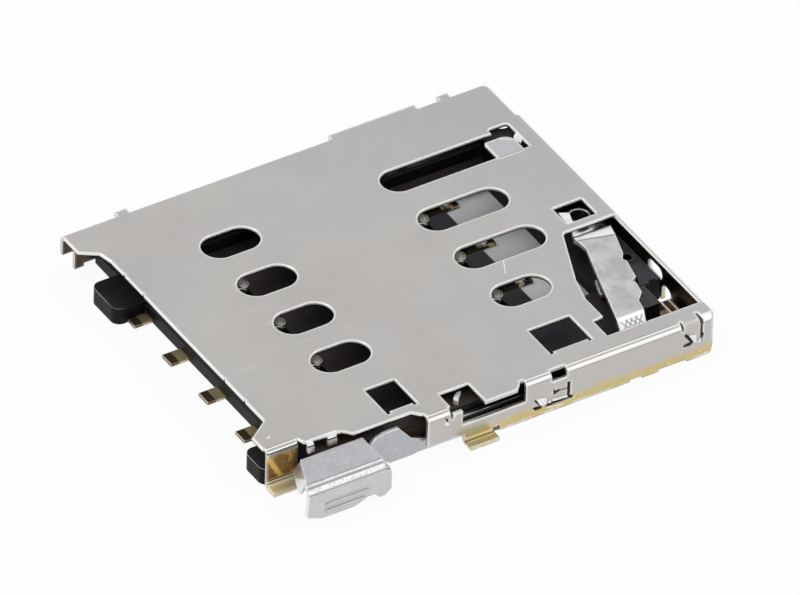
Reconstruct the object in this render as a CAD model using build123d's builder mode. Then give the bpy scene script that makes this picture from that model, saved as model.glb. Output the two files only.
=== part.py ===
from build123d import *
import os
from math import cos, radians, sin

# Surface-mount socket for a small card carried in a tray.  Millimetres, +Z up from the board.
# The origin is the centre of the cover's footprint on the board.  The tray slides in along +X
# through the open mouth, the contacts face up, and the push rod runs along the front side.

# Card contact grid
contact_pitch = 2.54
contact_row_gap = 7.62
grid_rows = 4
grid_offset_x = -0.14
grid_offset_y = 0.59

# Folded cover
sheet = 0.15
cover_length = 18.24
cover_width = 15.72
cover_height = 1.72
bend_inner = 0.10
corner_round = 0.45
plate_setback = 0.21
far_wall_setback = 2.21
relief = 0.13
slit = 0.10

# Ears of the cover beside the mouth
ear_reach = 0.88
ear_width = 1.32
ear_inset = 1.24
front_ear_depth = 1.02
back_ear_depth = 1.21
ear_slant = 0.60

# Feet of the cover on the board
foot_width = 1.20
foot_reach = 0.50
back_foot_reach = 0.12
front_foot_x = -1.58
foot_rise = 0.40

# Windows in the cover
window_length = 2.32
window_width = 1.39
window_stretch = 1.34
slot_width = 1.35
slot_end_length = 0.85
slot_end_rise = 0.25
slot_end_gap = 0.73
tongue_gap = 0.27
tongue_width = 1.12
tongue_length = 0.97
square_window_inset = 1.08
square_window_depth = 1.50
left_square_width = 1.26
right_square_width = 1.75

# Front wall of the cover
rod_window_x = -1.65
rod_window_width = 2.67
plate_notch_width = 1.25
plate_notch_depth = 1.06
latch_x = 2.85
latch_length = 0.75
latch_bottom = 0.29
latch_top = 1.08

# Openings of the far wall, counted from the lever's pivot
wall_oval_offset = -0.07
wall_oval_z = 1.02
wall_oval_length = 0.98
wall_oval_height = 0.56
wall_arch_offset = -0.88
wall_arch_width = 0.62
wall_arch_height = 0.74

# Moulded housing
floor_height = 0.50
mouth_setback = 0.59
mouth_bar_height = 0.62
mouth_bar_depth = 0.70
mouth_pad_height = 0.70
rail_headroom = 0.17
back_rail_width = 0.60
front_rail_drop = 0.32
front_rail_width = 0.72
neck_offset = 1.50
neck_length = 1.50
stop_depth = 1.58
stop_headroom = 0.22
deck_pad_rise = 0.08
front_pad_rise = 0.15
side_clearance = 0.05

# Contacts
contact_stock = 0.12
contact_width = 0.60
contact_tip_height = 1.20
contact_reach = 1.90
contact_nose = 0.35
contact_nose_drop = 0.18
contact_root = 0.45
contact_tip_offset = -0.44
contact_row_shift = 0.95
pocket_gap = 0.15
groove_gap = 0.02
tail_width = 0.64
tail_length = 0.75
tail_step = -1.37
inner_tail_width = 0.40
inner_tail_step = 1.25
inner_tail_reach = 1.78
ground_root = 0.99

# Push rod and its thumb tab
rod_sheet = 0.15
rod_wall_gap = 0.15
rod_rail_gap = 0.11
rod_bottom = 0.10
rod_height = 0.98
rod_travel = 1.90
hook_height = 0.36
hook_overlap = 0.18
tab_length = 3.50
tab_overhang = 0.32
tab_reach = 1.19
tab_depth = 1.65
tab_bottom = 0.08
tab_fold = 0.35
tab_flap_width = 1.22
rib_height = 0.05
rib_width = 0.13
upper_rib_length = 1.85
upper_rib_x = 1.60
upper_rib_z = 0.64
lower_rib_length = 1.65
lower_rib_x = 1.52
lower_rib_z = 0.35

# Eject lever
lever_sheet = 0.18
lever_headroom = 0.07
lever_front_arm = 3.21
lever_front_side = 1.42
lever_tip_arm = 3.54
lever_tip_side = 0.77
lever_arm_drop = 0.27
lever_lean = 19.0
lever_fold_slant = 15.4
lever_fold_arm = 2.25
lever_slope_arm = 2.29
lever_facet_drop = 0.05
lever_facet_end = 2.45
lever_blank_width = 4.20
lever_blank_margin = 0.80
lever_gap = 0.14
lever_rod_gap = 0.43
lever_deck_gap = 0.10
lever_fold_radius = 0.13
pivot_wall_gap = 1.76
pivot_radius = 0.27
pivot_clearance = 0.03
pivot_boss_radius = 0.50
pivot_relief_radius = 0.95
bearing_drop = 0.57
bearing_width = 0.84
bearing_reach = 0.72
tip_radius = 0.45
tip_bore = 0.36

# Outline of the lever's strap: sides and arms from the pivot
elbow_side = 1.29
back_left_side = 0.08
back_left_arm = 1.74
tongue_left_side = 0.14
tongue_step = 0.16
tongue_rise = 0.30
shoulder_side = 1.46
shoulder_rise = 0.10
back_right_side = 1.28
back_right_arm = 1.90
notch_side = 0.94
notch_arm = 0.82
notch_depth = 0.20
notch_height = 0.29
hip_side = 0.82
hip_arm = 0.35
bulge_side = 0.62
bulge_arm = 0.57
waist_side = 0.38
waist_arm = 0.69
knee_side = 0.44
knee_arm = 0.89
shin_side = 0.33
shin_arm = 1.43
ankle_side = 0.02
ankle_arm = 1.79
heel_side = 0.10
heel_arm = 2.18
toe_side = 0.37

# Detect switch
blade_stock = 0.10
blade_height = 0.72
blade_length = 1.95
blade_pitch = 0.32
blade_wall_gap = 0.65

# Limits of the cover
bend_outer = bend_inner + sheet
ear_x = -cover_length / 2
mouth_x = ear_x + ear_reach
far_x = cover_length / 2
far_inner_x = far_x - sheet
plate_end_x = far_x - plate_setback
front_y = -cover_width / 2
back_y = cover_width / 2
front_inner_y = front_y + sheet
back_inner_y = back_y - sheet
plate_under = cover_height - sheet
plate_middle = cover_height - sheet / 2

# Contact places
left_row_x = grid_offset_x - contact_row_gap / 2
right_row_x = grid_offset_x + contact_row_gap / 2
row_ys = [grid_offset_y + ((grid_rows - 1) / 2 - i) * contact_pitch for i in range(grid_rows)]
contact_ys = [y + contact_row_shift for y in row_ys[1:]]
ground_y = row_ys[0] + contact_row_shift + tail_step

# Lines of the rod, the housing and the lever
rod_outer_y = front_inner_y + rod_wall_gap
rod_inner_y = rod_outer_y + rod_sheet
base_front_y = rod_inner_y + rod_rail_gap
base_back_y = back_inner_y - side_clearance
base_far_x = far_inner_x - side_clearance
base_mouth_x = mouth_x + mouth_setback
tail_end_x = base_mouth_x - tail_length
front_rail_y = base_front_y + front_rail_width
front_rail_top = plate_under - front_rail_drop
back_rail_y = base_back_y - back_rail_width
pivot_x = far_inner_x - pivot_wall_gap
pivot_y = rod_inner_y + lever_rod_gap + lever_front_arm
lever_front_x = pivot_x - lever_front_side
lever_front_y = pivot_y - lever_front_arm
tip_x = pivot_x + lever_tip_side
tip_y = pivot_y + lever_tip_arm
rod_end_x = lever_front_x - lever_gap
wall_oval_y = pivot_y + wall_oval_offset
wall_arch_y = pivot_y + wall_arch_offset
ear_wall_y = front_y + ear_inset
ear_right_x = ear_x + ear_width
tab_left_x = ear_x + tab_overhang
tab_right_x = tab_left_x + tab_length
tab_front_y = front_y - tab_reach
wall_start_x = tab_right_x + rod_travel + 2 * rod_wall_gap

# Heights of the lever, and of the deck under it
lever_top = plate_under - lever_headroom
strap_middle = lever_top - lever_sheet / 2
arm_middle = strap_middle - lever_arm_drop
foot_middle = rod_height - lever_sheet / 2
bearing_middle = strap_middle - bearing_drop
boss_top = bearing_middle - lever_sheet / 2 - pivot_clearance
deck_height = arm_middle - lever_sheet / 2 - lever_deck_gap

standing = (Align.CENTER, Align.CENTER, Align.MIN)

os.makedirs("parts", exist_ok=True)


def block(x_limits, y_limits, z_limits, mode=Mode.ADD):
    """Add or cut a straight-sided block between three pairs of limits."""
    sizes = [high - low for low, high in (x_limits, y_limits, z_limits)]
    with Locations((x_limits[0], y_limits[0], z_limits[0])):
        Box(*sizes, align=(Align.MIN, Align.MIN, Align.MIN), mode=mode)


def plate(outline, z_limits, mode=Mode.ADD):
    """Add or cut a flat plate with the given plan outline."""
    with BuildSketch(Plane.XY.offset(z_limits[0])) as plan:
        with BuildLine():
            Polyline(*outline, close=True)
        make_face()
    extrude(plan.sketch, amount=z_limits[1] - z_limits[0], mode=mode)


def bent_strip(plane, path, radius, stock, width):
    """Add a strip of sheet that follows a path seen edge-on, as wide as asked along the plane's axis."""
    with BuildSketch(plane) as profile:
        with BuildLine():
            FilletPolyline(*path, radius=radius)
        trace(line_width=stock)
    extrude(profile.sketch, amount=width)


def about_pivot(offsets):
    """Move plan offsets, counted from the lever's pivot, to their places."""
    return [(pivot_x + x, pivot_y + y) for x, y in offsets]


def finish(builder, label):
    """Name a finished piece and write it."""
    builder.part.label = label
    export_step(builder.part, f"parts/{label}.step")


# Cover: a channel folded down at the front and back, with a far wall
bend_middle = bend_inner + sheet / 2
clear = 0.5
through_sheet = (-clear, cover_height + clear)
through_plate = (plate_under - slit / 2, cover_height + clear)
front_cut = (front_y - clear, front_inner_y + slit)
back_cut = (back_inner_y - slit / 2, back_y + clear)

with BuildPart() as cover_shell:
    with BuildSketch(Plane.YZ.offset(ear_x)) as channel:
        with Locations((0, cover_height / 2)):
            Rectangle(cover_width, cover_height)
        fillet(channel.vertices().group_by(Axis.Y)[-1], bend_outer)
        with BuildSketch(mode=Mode.SUBTRACT) as hollow:
            with Locations((0, plate_under / 2)):
                Rectangle(cover_width - 2 * sheet, plate_under)
            fillet(hollow.vertices().group_by(Axis.Y)[-1], bend_inner)
    extrude(amount=plate_end_x - ear_x)

    # Far wall, folded down from the same plate
    far_wall_back_y = back_y - far_wall_setback
    far_path = [
        (plate_end_x - 3 * bend_outer, plate_middle),
        (far_x - sheet / 2, plate_middle),
        (far_x - sheet / 2, 0),
    ]
    far_wall_width = far_wall_back_y - front_y - bend_outer
    bent_strip(Plane.XZ.offset(-far_wall_back_y), far_path, bend_middle, sheet, far_wall_width)

    # Mouth edge between the two ears
    front_ear_y = ear_wall_y + front_ear_depth
    back_ear_y = back_y - back_ear_depth
    mouth_outline = [
        (ear_x - clear, back_ear_y),
        (ear_x + slit, back_ear_y),
        (mouth_x - relief, back_ear_y - 0.75 * ear_slant),
        (mouth_x, back_ear_y - 1.75 * ear_slant),
        (mouth_x, front_ear_y + ear_slant),
        (ear_x + slit / 2, front_ear_y),
        (ear_x - clear, front_ear_y),
    ]
    plate(mouth_outline, through_sheet, Mode.SUBTRACT)
    block((ear_x - clear, ear_x + slit), (back_ear_y - clear, back_y + clear), through_sheet, Mode.SUBTRACT)
    nick_ys = (row_ys[0] + 0.30, row_ys[0] - 1.00, row_ys[-1] + 0.97, row_ys[-1] - 0.43)
    for nick_y in nick_ys:
        nick_limits = (nick_y - slit / 2, nick_y + slit / 2)
        block((mouth_x - slit, mouth_x + slit / 2), nick_limits, through_sheet, Mode.SUBTRACT)

    # Front edge left of the wall, kept clear of the rod
    relief_y = front_y + 0.66
    front_relief = [
        (ear_x - clear, front_y - clear),
        (ear_x - clear, ear_wall_y + bend_outer),
        (ear_right_x, ear_wall_y + bend_outer),
        (ear_right_x + sheet, ear_wall_y - relief),
        (tab_right_x - 0.85, relief_y + 0.32),
        (tab_right_x - 0.55, relief_y),
        (wall_start_x - 0.35, relief_y),
        (wall_start_x - slit, relief_y - bend_outer),
        (wall_start_x, relief_y - bend_outer - slit / 2),
        (wall_start_x, front_y - clear),
    ]
    plate(front_relief, through_sheet, Mode.SUBTRACT)

    # Front ear: a leg folded down to a foot on the board
    ear_leg_x = ear_x + slit / 2
    ear_path = [
        (ear_wall_y + 2 * bend_outer, plate_middle),
        (ear_wall_y + sheet / 2, plate_middle),
        (ear_wall_y + sheet / 2, sheet / 2),
        (ear_wall_y - foot_reach, sheet / 2),
    ]
    bent_strip(Plane.YZ.offset(ear_leg_x), ear_path, bend_middle, sheet, ear_right_x - ear_leg_x)

    # Two fingers bent down beside the rod
    finger_y = ear_wall_y - relief - sheet
    finger_path = [
        (ear_wall_y + 2 * sheet, plate_middle),
        (finger_y, plate_middle),
        (finger_y, front_rail_top + slit / 2),
    ]
    for finger_x, finger_width in ((ear_right_x + 0.22, 0.26), (ear_right_x + 1.07, 0.36)):
        bent_strip(Plane.YZ.offset(finger_x), finger_path, bend_middle, sheet, finger_width)

    # Contact windows, two of them stretched towards the far wall
    with BuildSketch(Plane.XY.offset(through_plate[0])):
        with Locations(*[(left_row_x, y) for y in row_ys]):
            SlotOverall(window_length, window_width)
        with Locations((right_row_x, row_ys[-1])):
            SlotOverall(window_length, window_width)
        with Locations(*[(right_row_x + window_stretch / 2, y) for y in row_ys[1:-1]]):
            SlotOverall(window_length + window_stretch, window_width)
    extrude(amount=through_plate[1] - through_plate[0], mode=Mode.SUBTRACT)

    # Long window with a square far end
    slot_y = row_ys[0] + 0.08
    slot_left_x = right_row_x - window_length / 2
    slot_end_x = far_x - slot_end_gap
    slot_round_end_x = slot_end_x - slot_end_length / 2
    with BuildSketch(Plane.XY.offset(through_plate[0])) as long_window:
        with Locations(((slot_left_x + slot_round_end_x) / 2, slot_y)):
            SlotOverall(slot_round_end_x - slot_left_x, slot_width)
        with Locations((slot_end_x - slot_end_length / 2, slot_y + slot_end_rise / 2)):
            Rectangle(slot_end_length, slot_width + slot_end_rise)
        fillet(long_window.vertices().group_by(Axis.Y)[-1], sheet)
    extrude(amount=through_plate[1] - through_plate[0], mode=Mode.SUBTRACT)

    # Tongue left standing at the front edge of the long window
    tongue_x = slot_end_x - tongue_gap - tongue_width
    tongue_y = slot_y - slot_width / 2
    with BuildSketch(Plane.XY.offset(plate_under)) as tongue:
        with Locations((tongue_x, tongue_y - sheet)):
            Rectangle(tongue_width, tongue_length + sheet, align=(Align.MIN, Align.MIN))
        fillet(tongue.vertices().group_by(Axis.Y)[-1].sort_by(Axis.X)[-1], 0.4 * tongue_width)
        fillet(tongue.vertices().group_by(Axis.Y)[-1].sort_by(Axis.X)[0], 0.1 * tongue_width)
    extrude(amount=sheet)

    # Two square windows with relief notches at their front corners
    square_y = front_y + square_window_inset
    square_windows = ((left_row_x - 0.28, left_square_width), (right_row_x - 1.02, right_square_width))
    for square_x, square_width in square_windows:
        square_limits = (square_y, square_y + square_window_depth)
        block((square_x, square_x + square_width), square_limits, through_plate, Mode.SUBTRACT)
        for x in (square_x, square_x + square_width - sheet):
            block((x, x + sheet), (square_y - relief, square_y + relief), through_plate, Mode.SUBTRACT)

    # Small window over the lever's tip
    block((tip_x - 0.84, tip_x + 0.41), (tip_y - 0.52, tip_y + 0.53), through_plate, Mode.SUBTRACT)

    # Lever window, open to the top edge of the far wall
    window_left_edge = [
        (-0.37, 2.67),
        (-0.52, 2.57),
        (-1.52, 0.07),
        (-1.79, -1.03),
        (-1.79, -2.18),
        (-2.24, -2.23),
        (-2.24, -lever_front_arm),
    ]
    lever_window = about_pivot(window_left_edge) + [
        (far_x + clear, lever_front_y),
        (far_x + clear, pivot_y + window_left_edge[0][1]),
    ]
    plate(lever_window, (plate_under - 0.02, cover_height + clear), Mode.SUBTRACT)

    # Front wall: the rod's opening, the notch above it and the reliefs across the fold
    notch_x = rod_window_x - 0.40
    block(
        (notch_x, notch_x + plate_notch_width),
        (front_y - clear, front_y + plate_notch_depth),
        (plate_under - 0.07, cover_height + clear),
        Mode.SUBTRACT,
    )
    rod_window_end_x = rod_window_x + rod_window_width
    upper_half = (cover_height / 2, cover_height + clear)
    block((rod_window_x, rod_window_end_x), front_cut, upper_half, Mode.SUBTRACT)
    fold_reliefs = (
        (notch_x - 0.11, notch_x, 1.30),
        (latch_x - latch_length, latch_x - slit, 1.32),
        (far_x - 1.53, far_x - 1.43, 1.42),
    )
    for x0, x1, bottom in fold_reliefs:
        block((x0, x1), front_cut, (bottom, cover_height + clear), Mode.SUBTRACT)
    block(
        (far_x - 0.75, far_x - 0.63),
        (front_y - clear, front_inner_y + 3 * slit),
        (0.75, cover_height + clear),
        Mode.SUBTRACT,
    )
    edge_x = notch_x + plate_notch_width
    edge_root_y = front_y + 0.31
    edge_front_y = front_y - 0.14
    flat_edge = [
        (edge_x, edge_root_y),
        (edge_x, edge_front_y),
        (rod_window_end_x - 0.47, edge_front_y),
        (rod_window_end_x - 0.20, edge_root_y - 0.17),
        (rod_window_end_x - 0.20, edge_root_y),
    ]
    plate(flat_edge, (plate_under, cover_height))

    # Lanced latches in the front wall
    block((latch_x - slit, latch_x + slit / 2), front_cut, (latch_bottom, latch_top), Mode.SUBTRACT)
    block((latch_x - latch_length, latch_x), front_cut, (latch_bottom, latch_bottom + relief), Mode.SUBTRACT)
    with BuildSketch(Plane.XZ.offset(-front_cut[1])):
        with BuildLine():
            Polyline(
                (latch_x - 0.78, latch_bottom + 0.55),
                (latch_x - 0.58, latch_bottom + 0.56),
                (latch_x - 0.58, latch_bottom + 0.74),
                close=True,
            )
        make_face()
    extrude(amount=front_cut[1] - front_cut[0], mode=Mode.SUBTRACT)
    for hole_x, hole_z, hole_length, hole_height in (
        (latch_x - 1.44, latch_bottom + 0.12, 0.20, 0.12),
        (far_x - 1.38, latch_bottom + 0.45, 0.18, 0.08),
    ):
        block(
            (hole_x - hole_length / 2, hole_x + hole_length / 2),
            front_cut,
            (hole_z - hole_height / 2, hole_z + hole_height / 2),
            Mode.SUBTRACT,
        )

    # Lower edge of the front wall, with one foot turned out
    foot_end_x = front_foot_x + foot_width
    edge_notches = (
        (wall_start_x - slit, front_foot_x, foot_rise),
        (front_foot_x, foot_end_x, foot_rise),
        (foot_end_x + 0.03, foot_end_x + 0.33, 0.22),
        (far_x - 3.68, far_x - 3.18, slit),
        (far_x - 2.48, far_x - 1.28, slit),
    )
    for x0, x1, top in edge_notches:
        block((x0, x1), front_cut, (-clear, top), Mode.SUBTRACT)
    foot_path = [
        (front_y + sheet / 2, foot_rise + slit / 2),
        (front_y + sheet / 2, sheet / 2),
        (front_y - foot_reach, sheet / 2),
    ]
    bent_strip(Plane.YZ.offset(front_foot_x), foot_path, bend_middle, sheet, foot_width)

    # Back wall: stepped at the mouth, one foot turned out near each end
    block((ear_x - clear, ear_x + 0.63), back_cut, (-clear, cover_height / 2), Mode.SUBTRACT)
    back_foot_path = [
        (back_y - sheet / 2, foot_rise + slit / 2),
        (back_y - sheet / 2, sheet / 2),
        (back_y + back_foot_reach, sheet / 2),
    ]
    for foot_x in (ear_x + 1.02, far_x - 3.53):
        block((foot_x, foot_x + foot_width), back_cut, (-clear, foot_rise), Mode.SUBTRACT)
        bent_strip(Plane.YZ.offset(foot_x), back_foot_path, bend_middle, sheet, foot_width)

    # Lugs left flat along the back fold
    lugs = ((ear_x + 2.42, ear_x + 2.92), (far_x - 6.77, far_x - 3.12), (far_x - 2.17, far_x - 1.72))
    lug_cut = (front_rail_top - slit / 2, cover_height + clear)
    for lug in lugs:
        block(lug, (back_inner_y - relief, back_y + clear), lug_cut, Mode.SUBTRACT)
        block(lug, (back_inner_y - sheet, back_y + back_foot_reach), (plate_under, cover_height))

    # Far wall: oval opening beside the lever, and an arched one at the foot of the wall
    with BuildSketch(Plane.YZ.offset(far_inner_x - slit)):
        with Locations((wall_oval_y, wall_oval_z)):
            SlotOverall(wall_oval_length, wall_oval_height)
        with Locations((wall_arch_y, 0)):
            RectangleRounded(wall_arch_width, 2 * wall_arch_height, 0.45 * wall_arch_width)
    extrude(amount=sheet + 2 * slit, mode=Mode.SUBTRACT)

    # Far corners of the plate, sheared round
    with BuildSketch():
        for corner_x, corner_y, side in ((far_x, front_y, -1), (plate_end_x, back_y, 1)):
            centre_x = corner_x - corner_round
            centre_y = corner_y - side * corner_round
            with Locations((corner_x, corner_y)):
                Rectangle(2 * corner_round, 2 * corner_round)
            with Locations((centre_x, centre_y)):
                Circle(corner_round, mode=Mode.SUBTRACT)
            with Locations((centre_x - corner_round, centre_y), (centre_x, centre_y - side * corner_round)):
                Rectangle(2 * corner_round, 2 * corner_round, mode=Mode.SUBTRACT)
    extrude(amount=cover_height + clear, mode=Mode.SUBTRACT)

    # Tab bent down at the front edge of the right square window
    tab_y = square_y + 0.06
    square_tab_path = [
        (tab_y - 0.33, plate_middle),
        (tab_y, plate_middle),
        (tab_y, front_rail_top + slit / 2),
    ]
    square_tab_x = square_windows[1][0] + 0.20
    bent_strip(Plane.YZ.offset(square_tab_x), square_tab_path, bend_middle, sheet, right_square_width - 0.40)
finish(cover_shell, "cover_shell")


# Housing: floor, mouth bar with its two pads, rails, stops and the nest of the lever
stop_x = base_far_x - stop_depth
deck_x = base_far_x - 1.03
deck_front_y = pivot_y - 0.64
deck_back_y = tip_y + tip_radius + 0.38
contact_slots = [(left_row_x, y) for y in contact_ys] + [(right_row_x, y) for y in contact_ys]
groove_top = contact_stock + groove_gap
through_floor = (-clear, cover_height + clear)


def beam_bend_x(row_x):
    """Give the place where the beams of a row leave the board."""
    return row_x + contact_tip_offset - contact_reach - contact_nose


with BuildPart() as base_housing:
    block((base_mouth_x, base_far_x), (base_front_y, base_back_y), (0, floor_height))
    bar_end_x = base_mouth_x + mouth_bar_depth
    block((base_mouth_x, bar_end_x), (front_rail_y, back_rail_y), (0, mouth_bar_height))
    chamfer(
        base_housing.edges().filter_by(Axis.Y).group_by(Axis.X)[0].sort_by(Axis.Z)[-1],
        mouth_bar_height - floor_height,
    )
    mouth_pads = (
        (ear_x + 0.02, ear_wall_y + 0.22, ear_wall_y + 1.62),
        (ear_x + 0.20, back_y - 3.74, back_y - 1.94),
    )
    for pad_x, pad_front_y, pad_back_y in mouth_pads:
        with BuildSketch() as pad_plan:
            with Locations(((pad_x + base_mouth_x) / 2, (pad_front_y + pad_back_y) / 2)):
                Rectangle(base_mouth_x - pad_x, pad_back_y - pad_front_y)
            fillet(pad_plan.vertices().group_by(Axis.X)[0], 0.35)
        extrude(amount=mouth_pad_height)

    # Rails, the rib beside the long window, and two shelves under the rod
    rail_top = plate_under - rail_headroom
    front_rail_end_x = lever_front_x - 0.90
    rail_x = base_mouth_x + mouth_bar_depth / 2
    block((rail_x, base_far_x), (back_rail_y, base_back_y), (floor_height, rail_top))
    block((rail_x, front_rail_end_x), (base_front_y, front_rail_y), (floor_height, front_rail_top))
    block((base_mouth_x + 1.35, stop_x), (row_ys[0] + 1.10, row_ys[0] + 1.38), (floor_height, 1.00))
    for shelf_x in (front_foot_x + 0.58, front_rail_end_x - foot_width):
        block(
            (shelf_x, shelf_x + foot_width),
            (front_inner_y + side_clearance, base_front_y),
            (0, rod_bottom - side_clearance),
        )

    # Stop for the end of the tray, the raised deck beside the lever and what stands on it
    block((stop_x, base_far_x), (deck_back_y, back_rail_y), (floor_height, plate_under - stop_headroom))
    block((deck_x, base_far_x), (deck_front_y, deck_back_y), (floor_height, deck_height))
    with BuildSketch(Plane.XY.offset(deck_height)):
        with Locations(((deck_x + base_far_x) / 2 - 0.08, pivot_y - 0.04)):
            RectangleRounded(0.70, 1.16, 0.08)
    extrude(amount=deck_pad_rise)
    block(
        (pivot_x + 0.17, pivot_x + 0.86),
        (pivot_y - 1.88, deck_front_y - slit),
        (floor_height, deck_height + front_pad_rise),
    )
    with Locations((pivot_x + 1.28, pivot_y + 1.05, deck_height)):
        Cylinder(0.30, 0.06, align=standing)
        Cylinder(0.18, 0.80, mode=Mode.SUBTRACT)

    # Round well of the lever's bearing, with the post standing on a boss
    with Locations((pivot_x, pivot_y, floor_height)):
        Cylinder(pivot_relief_radius, cover_height, align=standing, mode=Mode.SUBTRACT)
        Cylinder(pivot_boss_radius, boss_top - floor_height, align=standing)
        post_top = strap_middle - lever_sheet / 2 - 0.17
        Cylinder(pivot_radius, post_top - floor_height, align=standing)

    # Long opening under the far windows, with a neck over each inner tail
    opening_x = right_row_x + 0.88
    opening_limits = (row_ys[-1] - slit, row_ys[1] + contact_pitch - slit)
    block((opening_x, opening_x + window_length), opening_limits, through_floor, Mode.SUBTRACT)
    for window_y in row_ys[1:]:
        neck_limits = (window_y + neck_offset, window_y + contact_pitch - slit)
        block((opening_x - neck_length, opening_x + clear), neck_limits, through_floor, Mode.SUBTRACT)

    # Notches in the far edge
    with BuildSketch():
        with Locations((base_far_x, back_y - 1.71)):
            RectangleRounded(1.8, 1.2, 0.45)
        with Locations((base_far_x, wall_arch_y)):
            Rectangle(1.1, wall_arch_width + 2 * side_clearance)
    extrude(amount=cover_height, mode=Mode.SUBTRACT)

    # Pockets for the beams, and grooves in the underside for the roots and tails
    pocket_half = contact_width / 2 + pocket_gap
    for row_x, contact_y in contact_slots:
        bend_x = beam_bend_x(row_x)
        nose_x = row_x + contact_tip_offset
        pocket_limits = (contact_y - pocket_half, contact_y + pocket_half)
        block((bend_x - slit, nose_x + 0.40), pocket_limits, through_floor, Mode.SUBTRACT)
        if row_x == left_row_x:
            tail_y = contact_y + tail_step
            half = tail_width / 2 + groove_gap
            root_limits = (tail_y - half, contact_y + contact_width / 2 + groove_gap)
            tail_limits = (tail_end_x - groove_gap, bend_x - contact_root / 2)
        else:
            tail_y = contact_y + inner_tail_step
            half = inner_tail_width / 2 + groove_gap
            root_limits = (contact_y - contact_width / 2 - groove_gap, tail_y + half)
            tail_limits = (bend_x - contact_root / 2, opening_x + clear)
        block((bend_x - contact_root - groove_gap, bend_x), root_limits, (-clear, groove_top), Mode.SUBTRACT)
        block(tail_limits, (tail_y - half, tail_y + half), (-clear, groove_top), Mode.SUBTRACT)
    ground_half = tail_width / 2 + groove_gap
    block(
        (tail_end_x - groove_gap, base_mouth_x + ground_root + groove_gap),
        (ground_y - ground_half, ground_y + ground_half),
        (-clear, groove_top),
        Mode.SUBTRACT,
    )

    # Slots that hold the two blades of the detect switch
    blade_xs = [far_inner_x - blade_wall_gap + i * blade_pitch for i in range(2)]
    blade_y = base_front_y + slit
    for blade_x in blade_xs:
        block(
            (blade_x - groove_gap / 2, blade_x + blade_stock + groove_gap / 2),
            (blade_y - groove_gap / 2, blade_y + blade_length + groove_gap / 2),
            through_floor,
            Mode.SUBTRACT,
        )
finish(base_housing, "base_housing")


# Contacts: a flat root and tail on the board, and a sprung beam that rises to the card
def contact_beam(row_x, contact_y):
    """Add the root and the rising beam of one contact, with its nose turned down."""
    bend_x = beam_bend_x(row_x)
    nose_x = row_x + contact_tip_offset
    path = [
        (bend_x - contact_root, contact_stock / 2),
        (bend_x, contact_stock / 2),
        (nose_x - contact_nose, contact_tip_height - contact_stock / 2),
        (nose_x, contact_tip_height - contact_stock / 2 - contact_nose_drop),
    ]
    bent_strip(Plane.XZ.offset(-contact_y - contact_width / 2), path, 0.18, contact_stock, contact_width)


for number, contact_y in enumerate(contact_ys, start=1):
    with BuildPart() as mouth_contact:
        contact_beam(left_row_x, contact_y)
        bend_x = beam_bend_x(left_row_x)
        tail_y = contact_y + tail_step
        block(
            (bend_x - contact_root, bend_x - groove_gap),
            (tail_y - tail_width / 2, contact_y + contact_width / 2),
            (0, contact_stock),
        )
        block(
            (tail_end_x, bend_x - contact_root / 2 - groove_gap),
            (tail_y - tail_width / 2, tail_y + tail_width / 2),
            (0, contact_stock),
        )
    finish(mouth_contact, f"mouth_contact_{number}")

    with BuildPart() as inner_contact:
        contact_beam(right_row_x, contact_y)
        bend_x = beam_bend_x(right_row_x)
        tail_y = contact_y + inner_tail_step
        block(
            (bend_x - contact_root, bend_x - groove_gap),
            (contact_y - contact_width / 2, tail_y + inner_tail_width / 2),
            (0, contact_stock),
        )
        block(
            (bend_x - contact_root / 2, right_row_x + inner_tail_reach),
            (tail_y - inner_tail_width / 2, tail_y + inner_tail_width / 2),
            (0, contact_stock),
        )
    finish(inner_contact, f"inner_contact_{number}")

# Fourth tail at the mouth, which has no beam
with BuildPart() as ground_terminal:
    block(
        (tail_end_x, base_mouth_x + ground_root),
        (ground_y - tail_width / 2, ground_y + tail_width / 2),
        (0, contact_stock),
    )
finish(ground_terminal, "ground_terminal")

# Detect switch: two upright blades side by side
for blade_x, label in zip(blade_xs, ("detect_spring", "detect_terminal")):
    with BuildPart() as blade:
        block((blade_x, blade_x + blade_stock), (blade_y, blade_y + blade_length), (0, blade_height))
        if label == "detect_spring":
            foot_limits = (blade_y + blade_length / 2, blade_y + 0.85 * blade_length)
            foot_heights = (floor_height + groove_gap, floor_height + groove_gap + blade_stock)
            block((blade_x - blade_pitch, blade_x), foot_limits, foot_heights)
    finish(blade, label)


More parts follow.
